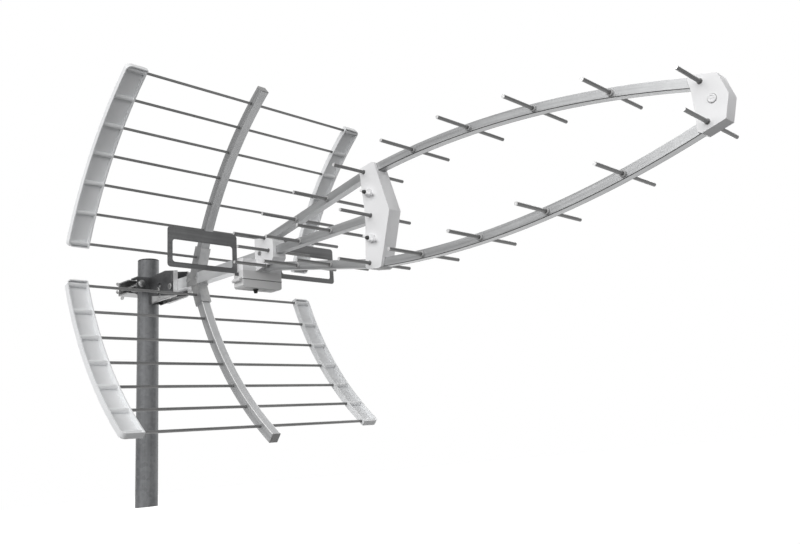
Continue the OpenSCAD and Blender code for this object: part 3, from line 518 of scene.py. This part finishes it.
# Radius of the rounded edges, where a node has them
EDGE = {
    "mid_bracket": 0.6 * MM, "front_cap": 0.6 * MM, "boom_holder": 0.5 * MM,
    "dipole_box": 0.5 * MM, "box_lid": 0.6 * MM,
    "upper_strip_near": 0.35 * MM, "upper_strip_far": 0.35 * MM,
    "lower_strip_near": 0.35 * MM, "lower_strip_far": 0.35 * MM,
    "clamp_bracket": 0.25 * MM, "clamp_jaw": 0.25 * MM, "mast_cap": 0.8 * MM,
    "director_clips": 0.4 * MM,
}
TUBE_EDGE = 0.35 * MM
for tube in ("main_boom", "middle_rear_boom", "upper_rear_boom", "lower_rear_boom",
             "upper_front_boom", "lower_front_boom", "upper_spine", "lower_spine"):
    EDGE[tube] = TUBE_EDGE


def dress(node, name):
    """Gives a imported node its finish, its smooth shading and, where it has them, its rounded edges."""
    node.data.materials.clear()
    node.data.materials.append(finish_of(name))
    weld = node.modifiers.new("weld", "WELD")
    weld.merge_threshold = WELD_REACH
    if name in EDGE:
        joined = node.modifiers.new("whole_flat_faces", "DECIMATE")
        joined.decimate_type = "DISSOLVE"
        joined.angle_limit = FLAT_WITHIN
        bevel = node.modifiers.new("rounded_edges", "BEVEL")
        bevel.width = EDGE[name]
        bevel.segments = 2
        bevel.limit_method = "ANGLE"
        bevel.angle_limit = ROUNDED_FROM
    smooth = node.modifiers.new("smooth_shading", "NODES")
    smooth.node_group = SMOOTH
    flat = node.modifiers.new("flat_faces_stay_flat", "WEIGHTED_NORMAL")
    flat.keep_sharp = True


for name, node in nodes.items():
    dress(node, name)


# Making the fittings

def at(x, y, z):
    """A place in millimetres from the antenna's axis, as metres in the frame."""
    return Vector((x * MM, y * MM, AXIS_Z + z * MM))


def turned(bm, centre, axis, profile, steps=32, ring=False):
    """Turns a profile of (way along the axis, radius) points, in mm, once round the axis."""
    axis = Vector(axis)
    side = axis.orthogonal().normalized()
    made = [bm.verts.new(centre + axis * (way * MM) + side * (reach * MM)) for way, reach in profile]
    edges = [bm.edges.new(pair) for pair in zip(made, made[1:])]
    if ring:
        edges.append(bm.edges.new((made[-1], made[0])))
    bmesh.ops.spin(bm, geom=made + edges, cent=centre, axis=axis, dvec=(0.0, 0.0, 0.0),
                   angle=2 * math.pi, steps=steps, use_merge=True, use_duplicate=False)


def thread(bm, centre, axis, start, end, root, crest, pitch, steps=16):
    """A closed helical ridge along the axis, in mm, its root a little inside the core."""
    axis = Vector(axis)
    side = axis.orthogonal().normalized()
    profile = ((-0.42 * pitch, root), (0.0, crest), (0.42 * pitch, root))
    first = centre + axis * (start * MM)
    made = [bm.verts.new(first + axis * (way * MM) + side * (reach * MM)) for way, reach in profile]
    edges = [bm.edges.new((made[i], made[(i + 1) % 3])) for i in range(3)]
    turns = (end - start) / pitch
    total = max(1, round(turns * steps))
    bmesh.ops.spin(bm, geom=made + edges, cent=centre, axis=axis, dvec=axis * ((end - start) * MM / total),
                   angle=2 * math.pi * turns, steps=total, use_merge=False, use_duplicate=False)


def block(bm, low, high, rounding, segments=2):
    """A block between two corners, with rounded edges."""
    made = bmesh.ops.create_cube(bm, size=1.0)["verts"]
    size = [high[i] - low[i] for i in range(3)]
    bmesh.ops.scale(bm, verts=made, vec=size)
    bmesh.ops.translate(bm, verts=made, vec=(Vector(low) + Vector(high)) / 2)
    edges = list({edge for vert in made for edge in vert.link_edges})
    bmesh.ops.bevel(bm, geom=edges, offset=rounding * MM, segments=segments, profile=0.5,
                    affect="EDGES", material=-1)


def fitting(name, bm, body, material):
    """Closes the mesh, turns its faces outwards, and puts the piece on its body."""
    bmesh.ops.remove_doubles(bm, verts=bm.verts, dist=0.0005 * MM)
    open_edges = [edge for edge in bm.edges if edge.is_boundary]
    if open_edges:
        bmesh.ops.holes_fill(bm, edges=open_edges, sides=0)
    bmesh.ops.recalc_face_normals(bm, faces=bm.faces)
    mesh = bpy.data.meshes.new(name)
    bm.to_mesh(mesh)
    bm.free()
    mesh.materials.append(material)
    obj = bpy.data.objects.new(name, mesh)
    bpy.context.scene.collection.objects.link(obj)
    smooth = obj.modifiers.new("smooth_shading", "NODES")
    smooth.node_group = SMOOTH
    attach(obj, body)
    return obj


X_AXIS = (1.0, 0.0, 0.0)
Y_AXIS = (0.0, 1.0, 0.0)
UP = (0.0, 0.0, 1.0)
DOWN = (0.0, 0.0, -1.0)
SIDES = (-1, 1)


# The mast clamp's fittings

CLAMP_BOLT_Y = 32
CLAMP_BOLT_Z = 15
TILT_BOLT_X = (108, 64)
TILT_BOLT_Z = -4.5
CHEEK_OUT = 13.8
CHEEK_BOTTOM = -27
SKIRT_H = 2.8
# How far the skirt flares at its rear and at its front end
SKIRT_ENDS = ((48, 6.5), (124, 1.6))
NUT_SEAT_X = -44.15
M8 = {"root": 3.3, "crest": 4.0, "pitch": 1.25}
M6 = {"root": 2.45, "crest": 3.0, "pitch": 1.0}


def clamp_bolts():
    """Two coach bolts with domed heads, threaded where the wing nuts run."""
    bm = bmesh.new()
    shaft = ((-67.0, 0.0), (-67.0, 2.7), (-66.1, 3.45), (-28.0, 3.45), (-27.0, 4.0), (29.5, 4.0),
             (29.5, 8.0), (30.3, 7.95), (31.8, 6.9), (32.9, 5.0), (33.4, 2.6), (33.5, 0.0))
    for side in SIDES:
        centre = at(0, side * CLAMP_BOLT_Y, CLAMP_BOLT_Z)
        turned(bm, centre, X_AXIS, shaft)
        thread(bm, centre, X_AXIS, -65.8, -28.6, **M8)
    return fitting("threaded_clamp_bolts", bm, "clamp", BOLT_STEEL)


def clamp_skirts():
    """The lower edges of the side plates, flared outwards, and low enough to clear the locking bolt."""
    bm = bmesh.new()
    inner, bottom = CHEEK_OUT - 0.3, CHEEK_BOTTOM - 0.1
    for side in SIDES:
        corners = []
        for x, flare in SKIRT_ENDS:
            section = ((inner, bottom + SKIRT_H), (inner + flare, bottom), (inner, bottom))
            corners += [bm.verts.new(at(x, side * y, z)) for y, z in section]
        made = bmesh.ops.convex_hull(bm, input=corners, use_existing_faces=False)
        edges = [part for part in made["geom"] if isinstance(part, bmesh.types.BMEdge)]
        bmesh.ops.dissolve_limit(bm, angle_limit=0.01, verts=corners, edges=edges)
    bmesh.ops.bevel(bm, geom=list(bm.edges), offset=0.35 * MM, segments=2, profile=0.5,
                    affect="EDGES", material=-1)
    return fitting("clamp_skirts", bm, "clamp", ZINC)


def tilt_bolts():
    """The pivot bolt and the locking bolt, with chamfered heads and short threads."""
    bm = bmesh.new()
    shaft = ((-18.1, 0.0), (-18.1, 4.9), (-17.7, 5.8), (-16.9, 6.35), (-14.1, 6.35), (-14.1, 4.0),
             (14.2, 4.0), (15.0, 3.45), (21.4, 3.45), (22.1, 2.9), (22.1, 0.0))
    for x in TILT_BOLT_X:
        centre = at(x, 0, TILT_BOLT_Z)
        turned(bm, centre, Y_AXIS, shaft)
        thread(bm, centre, Y_AXIS, 15.4, 21.2, **M8)
    return fitting("threaded_tilt_bolts", bm, "antenna", BOLT_STEEL)


def clamp_wing_nut(side, lean, name, body):
    """A cast wing nut: a tapered boss, and two ears that rise towards the bolt's end."""
    bm = bmesh.new()
    ear = ((3.5, 1.6), (8.0, 1.2), (12.5, 3.2), (16.4, 6.8), (18.8, 10.8), (18.9, 14.0), (17.0, 16.2),
           (14.2, 15.8), (12.0, 13.0), (9.6, 9.8), (6.6, 8.2), (3.5, 8.0))
    for way in SIDES:
        flat = bm.faces.new([bm.verts.new((way * out * MM, -1.7 * MM, up * MM)) for out, up in ear])
        pushed = bmesh.ops.extrude_face_region(bm, geom=[flat], use_keep_orig=True)
        lifted = [part for part in pushed["geom"] if isinstance(part, bmesh.types.BMVert)]
        bmesh.ops.translate(bm, verts=lifted, vec=(0.0, 3.4 * MM, 0.0))
    bmesh.ops.bevel(bm, geom=list(bm.edges), offset=0.8 * MM, segments=3, profile=0.5,
                    affect="EDGES", material=-1)
    boss = ((0.0, 4.1), (0.0, 8.0), (2.4, 7.9), (6.6, 6.9), (9.2, 6.4), (9.9, 5.7), (9.9, 4.6), (9.4, 4.1))
    turned(bm, Vector((0.0, 0.0, 0.0)), UP, boss, steps=40, ring=True)
    to_bolt = Matrix(((0.0, 0.0, -1.0), (0.0, 1.0, 0.0), (1.0, 0.0, 0.0)))
    turn = to_bolt @ Matrix.Rotation(math.radians(lean), 3, "Z")
    bmesh.ops.rotate(bm, verts=bm.verts, cent=(0.0, 0.0, 0.0), matrix=turn)
    bmesh.ops.translate(bm, verts=bm.verts, vec=at(NUT_SEAT_X, side * CLAMP_BOLT_Y, CLAMP_BOLT_Z))
    return fitting(name, bm, body, ZINC)


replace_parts(clamp_bolts(), "clamp_bolts")
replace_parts(clamp_wing_nut(-1, -20, "cast_wing_nut_near", "near_wing_nut"), "clamp_wing_nut_near")
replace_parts(clamp_wing_nut(1, 0, "cast_wing_nut_far", "far_wing_nut"), "clamp_wing_nut_far")
clamp_skirts()
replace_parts(tilt_bolts(), "tilt_bolts")


# The middle bracket's and the front cap's fittings

BRACKET_BOLT = (680, 38)
BRACKET_NUT_Y = -13.15
WING_LEAN = math.radians(30)
CAP_SCREW_X = 1261
CAP_HALF = 12
HOLDER_HALF = 14
BRACKET_HALF = 13
# The directors that run through a moulding, in millimetres
FIRST_FAN_X = 410
FIRST_FAN_Z = 25.6
LAST_X = 1250
BOW_TOP = 85
BOW_TURN = BOW_R / MM
LAST_LEAN = math.asin((LAST_X - BOW_X / MM) / BOW_TURN)
LAST_Z = BOW_TOP - BOW_TURN * (1 - math.cos(LAST_LEAN))
# Holes where a director enters a moulding: its place, and the moulding's half width
MOULDED_HOLES = [(420, 0, HOLDER_HALF), (680, 0, BRACKET_HALF)]
for side in SIDES:
    for x, half in ((FIRST_FAN_X, HOLDER_HALF), (671, BRACKET_HALF)):
        MOULDED_HOLES.append((x, side * (FIRST_FAN_Z + (x - FIRST_FAN_X) * math.tan(FAN_ANGLE)), half))
    MOULDED_HOLES.append((LAST_X, side * LAST_Z, CAP_HALF))


def bracket_bolts():
    """Two pan-headed bolts, threaded under the moulded wing nuts."""
    bm = bmesh.new()
    x, z = BRACKET_BOLT
    shaft = ((-27.0, 0.0), (-27.0, 2.0), (-26.5, 2.55), (-9.0, 2.55), (-8.2, 3.0), (13.0, 3.0),
             (13.0, 5.1), (15.6, 5.05), (16.5, 4.4), (17.0, 3.0), (17.0, 0.0))
    for side in SIDES:
        centre = at(x, 0, side * z)
        turned(bm, centre, Y_AXIS, shaft)
        thread(bm, centre, Y_AXIS, -26.2, -9.2, **M6)
    return fitting("threaded_bracket_bolts", bm, "antenna", DARK_BOLT)


def bracket_wing_nut(side, name, body):
    """A moulded wing nut: a round boss with a rim at its mouth, and two thick rounded wings."""
    bm = bmesh.new()
    x, z = BRACKET_BOLT
    centre = at(x, BRACKET_NUT_Y, side * z)
    lean = Matrix.Rotation(WING_LEAN, 3, "Y")
    boss = ((0.0, 3.1), (0.0, 7.0), (3.0, 6.9), (6.5, 6.1), (8.6, 5.5), (9.6, 5.0), (10.0, 4.3), (9.8, 3.6),
            (8.9, 3.1))
    turned(bm, centre, (0.0, -1.0, 0.0), boss, steps=40, ring=True)
    for way in SIDES:
        corners = bmesh.ops.create_cube(bm, size=1.0)["verts"]
        bmesh.ops.scale(bm, verts=corners, vec=(9.0 * MM, 7.5 * MM, 5.4 * MM))
        edges = list({edge for vert in corners for edge in vert.link_edges})
        rounded = bmesh.ops.bevel(bm, geom=edges, offset=2.2 * MM, segments=5, profile=0.5,
                                  affect="EDGES", material=-1)
        made = list({vert for face in rounded["faces"] for vert in face.verts})
        bmesh.ops.translate(bm, verts=made, vec=(way * 8.6 * MM, -6.6 * MM, 0.0))
        bmesh.ops.rotate(bm, verts=made, cent=(0.0, 0.0, 0.0), matrix=lean)
        bmesh.ops.translate(bm, verts=made, vec=centre)
    return fitting(name, bm, body, WHITE)


def cap_screw():
    """A moulded screw with a dished head and a driving rib across it."""
    bm = bmesh.new()
    centre = at(CAP_SCREW_X, 0, 0)
    head = ((13.3, 0.0), (13.3, 2.9), (14.0, 3.4), (14.0, 4.7), (13.6, 5.3), (12.0, 5.5), (12.0, 2.5))
    profile = [(-way, reach) for way, reach in head] + list(reversed(head))
    turned(bm, centre, Y_AXIS, profile, steps=40)
    for side in SIDES:
        near, far = sorted((side * 13.1, side * 13.85))
        block(bm, at(CAP_SCREW_X - 2.6, near, -0.5), at(CAP_SCREW_X + 2.6, far, 0.5), 0.15)
    return fitting("dished_cap_screw", bm, "antenna", WHITE)


def cap_screw_gaps():
    """Dark rings round the screw's head, on both faces of the cap: painted shade for the gap there."""
    bm = bmesh.new()
    for side in SIDES:
        ring = [(side * way, reach) for way, reach in
                ((11.8, 5.4), (12.1, 5.4), (12.15, 5.8), (12.1, 6.2), (11.8, 6.3))]
        turned(bm, at(CAP_SCREW_X, 0, 0), Y_AXIS, ring, steps=48, ring=True)
    return fitting("cap_screw_gaps", bm, "antenna", PLUG_GREY_AND_SHADE)


def hole_rims():
    """Dark rings round the holes where directors enter the mouldings: painted shade for the holes' rims."""
    bm = bmesh.new()
    for x, z, half in MOULDED_HOLES:
        for side in SIDES:
            rim = [(side * (half + way), reach) for way, reach in
                   ((-0.2, 2.85), (0.05, 2.85), (0.2, 3.5), (0.2, 3.9), (-0.2, 4.1))]
            turned(bm, at(x, 0, z), Y_AXIS, rim, steps=28, ring=True)
    return fitting("hole_rims", bm, "antenna", PLUG_GREY_AND_SHADE)


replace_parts(bracket_bolts(), "bracket_bolts")
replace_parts(bracket_wing_nut(1, "round_wing_nut_upper", "upper_bracket_nut"), "bracket_wing_nut_upper")
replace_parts(bracket_wing_nut(-1, "round_wing_nut_lower", "lower_bracket_nut"), "bracket_wing_nut_lower")
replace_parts(cap_screw(), "cap_screw")
cap_screw_gaps()
hole_rims()


# The dipole box's fittings

BOX_X = 370
BOX_FLOOR = -60.5
BOX_HALF_X = 13.5
BOX_HALF_Y = 42.5
BOARD_UNDER = -37.2
SOCKET_Y = -6
BULGE_Y = 21
LID_RIBS_X = (-11.0, 10.0)
TRACKS_X = (-7.5, 6.3)
TRACK_TOP = BOARD_UNDER + 0.1
TRACK_FACE = BOARD_UNDER - 0.12
TRACK_ENDS = (9, 27)
CORE_Y = 17


def lid_bulge():
    """The shallow round swelling under the lid, and the two ribs beside it."""
    bm = bmesh.new()
    dome = ((-0.4, 0.0), (-0.4, 10.6), (0.3, 10.4), (0.8, 9.4), (1.1, 7.4), (1.2, 0.0))
    turned(bm, at(BOX_X, BULGE_Y, BOX_FLOOR), DOWN, dome, steps=48)
    for x in LID_RIBS_X:
        block(bm, at(BOX_X + x, -26, BOX_FLOOR - 0.6), at(BOX_X + x + 1.0, 34, BOX_FLOOR + 0.3), 0.25)
    return fitting("lid_bulge", bm, "lid", BOX_GREY)


def cable_gland():
    """The soft gland that grips the cable: a flange, a tapering boot with rings, and its bore."""
    bm = bmesh.new()
    boot = [(-1.9, 2.5), (-1.9, 4.4), (-0.1, 4.4), (-0.1, 5.2), (0.9, 5.1), (1.2, 4.5)]
    for step in range(3):
        way = 1.9 + 1.5 * step
        reach = 4.1 - 0.35 * step
        boot += [(way - 0.3, reach - 0.35), (way, reach), (way + 0.4, reach), (way + 0.7, reach - 0.35)]
    boot += [(6.4, 3.1), (6.7, 2.8), (6.7, 2.5)]
    turned(bm, at(BOX_X, SOCKET_Y, BOX_FLOOR), DOWN, boot, steps=36, ring=True)
    return fitting("ribbed_cable_gland", bm, "lid", BLACK)


def box_seam():
    """A dark band painted as the shade of the split line between the box and its lid, and the moulded rim
    over it.
    """
    for name, low, high, proud, material in (("split_line_shade_band", -46.6, -45.5, 0.15, SPLIT_SHADE_GREY),
                                             ("box_rim", -45.2, -43.6, 0.7, BOX_GREY)):
        bm = bmesh.new()
        half_x, half_y = BOX_HALF_X + proud, BOX_HALF_Y + proud
        block(bm, at(BOX_X - half_x, -half_y, low), at(BOX_X + half_x, half_y, high), 0.12 + 0.3 * proud)
        sides = [face for face in bm.faces if abs(face.normal.z) > 0.9 and face.calc_area() > 1e-4]
        bmesh.ops.inset_region(bm, faces=sides, thickness=(proud + 1.2) * MM)
        bmesh.ops.bridge_loops(bm, edges=list({edge for face in sides for edge in face.edges}))
        bmesh.ops.delete(bm, geom=sides, context="FACES")
        fitting(name, bm, "antenna", material)


def socket_thread():
    """The thread round the cable socket, and the contact in its bore."""
    bm = bmesh.new()
    centre = at(BOX_X, SOCKET_Y, BOARD_UNDER)
    thread(bm, centre, DOWN, 4.2, 13.4, 4.6, 4.95, 0.8, steps=24)
    contact = ((4.8, 0.0), (4.8, 0.9), (12.0, 0.9), (12.4, 0.7), (12.4, 0.3), (11.0, 0.3), (11.0, 0.0))
    turned(bm, centre, DOWN, contact, steps=16)
    return fitting("socket_thread", bm, "antenna", NICKEL)


def board_tracks():
    """Tinned tracks, pads and solder on the underside of the board."""
    bm = bmesh.new()
    inner, outer = TRACK_ENDS
    for side in SIDES:
        low, high = sorted((side * inner, side * outer))
        for x in TRACKS_X:
            block(bm, at(BOX_X + x, low, TRACK_FACE), at(BOX_X + x + 1.2, high, TRACK_TOP), 0.04)
        block(bm, at(BOX_X - 7.5, side * outer - 0.6, TRACK_FACE),
              at(BOX_X + 7.5, side * outer + 0.6, TRACK_TOP), 0.04)
    bead = ((-0.2, 0.0), (-0.2, 1.1), (0.2, 1.0), (0.6, 0.6), (0.8, 0.0))
    for x in (-6.9, 6.9):
        for y in (-outer, -inner, inner, outer):
            turned(bm, at(BOX_X + x, y, BOARD_UNDER), DOWN, bead, steps=16)
    return fitting("board_tracks", bm, "antenna", NICKEL)


def ferrite_core():
    """The two-hole ferrite core of the balun, under the board."""
    bm = bmesh.new()
    low = at(BOX_X - 6.5, CORE_Y - 4.0, BOARD_UNDER - 4.6)
    high = at(BOX_X + 6.5, CORE_Y + 4.0, BOARD_UNDER)
    block(bm, low, high, 1.6, 4)
    return fitting("ferrite_core", bm, "antenna", BLACK)


def core_windings():
    """Wire wound through the two holes of the ferrite core."""
    bm = bmesh.new()
    for side in SIDES:
        for turn in range(3):
            x = BOX_X + side * (2.0 + 1.1 * turn)
            low = at(x - 0.35, CORE_Y - 4.5, BOARD_UNDER - 4.9)
            high = at(x + 0.35, CORE_Y + 4.5, BOARD_UNDER - 1.8)
            block(bm, low, high, 0.3, 3)
    return fitting("core_windings", bm, "antenna", COPPER)


lid_bulge()
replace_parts(cable_gland(), "cable_gland")
box_seam()
socket_thread()
board_tracks()
ferrite_core()
core_windings()


# The studio

def photo_camera():
    """The camera at the photograph's angle, for a frame of 800 by 544."""
    width, height = 800.0, 544.0
    focal_px, centre_x, centre_y = 853.95, 451.305, 194.668
    right = Vector((0.75507769, 0.64891087, -0.09366089))
    up = Vector((0.25505791, -0.15912852, 0.95374188))
    back = Vector((0.60398936, -0.74403817, -0.28566424))
    data = bpy.data.cameras.new("photo_camera")
    camera = bpy.data.objects.new("photo_camera", data)
    bpy.context.scene.collection.objects.link(camera)
    turn = Matrix((right, up, back)).transposed().to_4x4()
    camera.matrix_world = Matrix.Translation((1.611248, -0.950982, 0.049393)) @ turn
    data.sensor_width = 36.0
    data.lens = focal_px / width * data.sensor_width
    data.shift_x = (width / 2 - centre_x) / width
    data.shift_y = (centre_y - height / 2) / width
    data.clip_start = 0.05
    bpy.context.scene.camera = camera


def soft_lamp(name, place_at, aim, size, power):
    data = bpy.data.lights.new(name, "AREA")
    data.shape = "RECTANGLE"
    data.size, data.size_y = size
    data.energy = power
    lamp = bpy.data.objects.new(name, data)
    lamp.location = place_at
    lamp.rotation_euler = (Vector(aim) - Vector(place_at)).to_track_quat("-Z", "Y").to_euler()
    bpy.context.scene.collection.objects.link(lamp)


def studio_world(strength):
    """An even grey light that the camera, and what mirrors or lets light through, sees as white."""
    world = bpy.data.worlds.new("studio")
    bpy.context.scene.world = world
    world.use_nodes = True
    tree = world.node_tree
    path = tree.nodes.new("ShaderNodeLightPath")
    seen = math_node(tree, "MAXIMUM", path.outputs["Is Camera Ray"], path.outputs["Is Transmission Ray"])
    seen = math_node(tree, "MAXIMUM", seen, path.outputs["Is Glossy Ray"])
    level = span(tree, seen, 0.0, 1.0, strength, 1.0)
    background = tree.nodes["Background"]
    background.inputs["Color"].default_value = (1.0, 1.0, 1.0, 1.0)
    tree.links.new(level, background.inputs["Strength"])


def floor(bounce, near_tone, near_glow, clear_from, clear_to):
    """A round floor that keeps the shadow near the mast, turns white further out, and bounces little."""
    bm = bmesh.new()
    bmesh.ops.create_circle(bm, cap_ends=True, cap_tris=False, segments=96, radius=9.0)
    bmesh.ops.translate(bm, verts=bm.verts, vec=(0.5, 0.0, 0.0))
    mesh = bpy.data.meshes.new("studio_floor")
    bm.to_mesh(mesh)
    bm.free()
    made = bpy.data.materials.new("studio_floor")
    made.use_nodes = True
    tree = made.node_tree
    path = tree.nodes.new("ShaderNodeLightPath")
    seen = math_node(tree, "MAXIMUM", path.outputs["Is Camera Ray"], path.outputs["Is Glossy Ray"])
    where = tree.nodes.new("ShaderNodeTexCoord")
    away = put(tree, "ShaderNodeVectorMath", {0: where.outputs["Object"]}, operation="LENGTH")
    away = away.outputs["Value"]
    far = span(tree, away, clear_from, clear_to)
    shader = tree.nodes["Principled BSDF"]
    shown = blend_colours(tree, far, grey(near_tone), grey(0.0))
    tree.links.new(blend_colours(tree, seen, grey(bounce), shown), shader.inputs["Base Color"])
    shader.inputs["Roughness"].default_value = 0.9
    shader.inputs["Specular IOR Level"].default_value = 0.0
    shader.inputs["Emission Color"].default_value = (1.0, 1.0, 1.0, 1.0)
    glow = math_node(tree, "MULTIPLY", seen, span(tree, far, 0.0, 1.0, near_glow, 1.0))
    tree.links.new(glow, shader.inputs["Emission Strength"])
    obj = bpy.data.objects.new("studio_floor", mesh)
    mesh.materials.append(made)
    bpy.context.scene.collection.objects.link(obj)


def dark_card(name, place_at, aim, size, tone):
    """A grey card that only mirrored rays see: it casts no shadow and dims no other light."""
    bm = bmesh.new()
    bmesh.ops.create_grid(bm, x_segments=1, y_segments=1, size=0.5)
    bmesh.ops.scale(bm, verts=bm.verts, vec=(size[0], size[1], 1.0))
    turn = (Vector(aim) - Vector(place_at)).to_track_quat("Z", "Y").to_matrix().to_4x4()
    bmesh.ops.transform(bm, matrix=Matrix.Translation(place_at) @ turn, verts=bm.verts)
    mesh = bpy.data.meshes.new(name)
    bm.to_mesh(mesh)
    bm.free()
    made = bpy.data.materials.new(name)
    made.use_nodes = True
    shader = made.node_tree.nodes["Principled BSDF"]
    shader.inputs["Base Color"].default_value = grey(0.0)
    shader.inputs["Specular IOR Level"].default_value = 0.0
    shader.inputs["Emission Color"].default_value = (1.0, 1.0, 1.0, 1.0)
    shader.inputs["Emission Strength"].default_value = tone
    card = bpy.data.objects.new(name, mesh)
    mesh.materials.append(made)
    bpy.context.scene.collection.objects.link(card)
    card.visible_camera = False
    card.visible_diffuse = False
    card.visible_shadow = False
    card.visible_transmission = False


AIM = (0.55, 0.0, 0.4)
AXIS_MIDDLE = (0.55, 0.0, 0.42)
REFLECTOR_FRONT = (0.3, 0.0, 0.42)

photo_camera()
studio_world(strength=0.30)
floor(bounce=0.15, near_tone=0.80, near_glow=0.62, clear_from=0.5, clear_to=1.6)
dark_card("left_card", (-1.5, -2.2, 1.1), AXIS_MIDDLE, size=(4.2, 2.6), tone=0.32)
dark_card("front_card", (3.4, 2.4, 1.5), REFLECTOR_FRONT, size=(1.8, 2.6), tone=0.45)
soft_lamp("key_lamp", (1.2, -3.9, 1.9), AIM, size=(5.0, 3.6), power=170)
soft_lamp("side_lamp", (4.3, -0.7, 1.0), AIM, size=(2.6, 2.2), power=26)
soft_lamp("back_fill", (0.0, 3.8, 1.6), AIM, size=(2.4, 2.4), power=70)
soft_lamp("mast_fill", (-3.4, 0.2, 1.4), (0.2, 0.0, 0.4), size=(2.0, 2.0), power=38)

bpy.context.scene.view_settings.view_transform = "Standard"
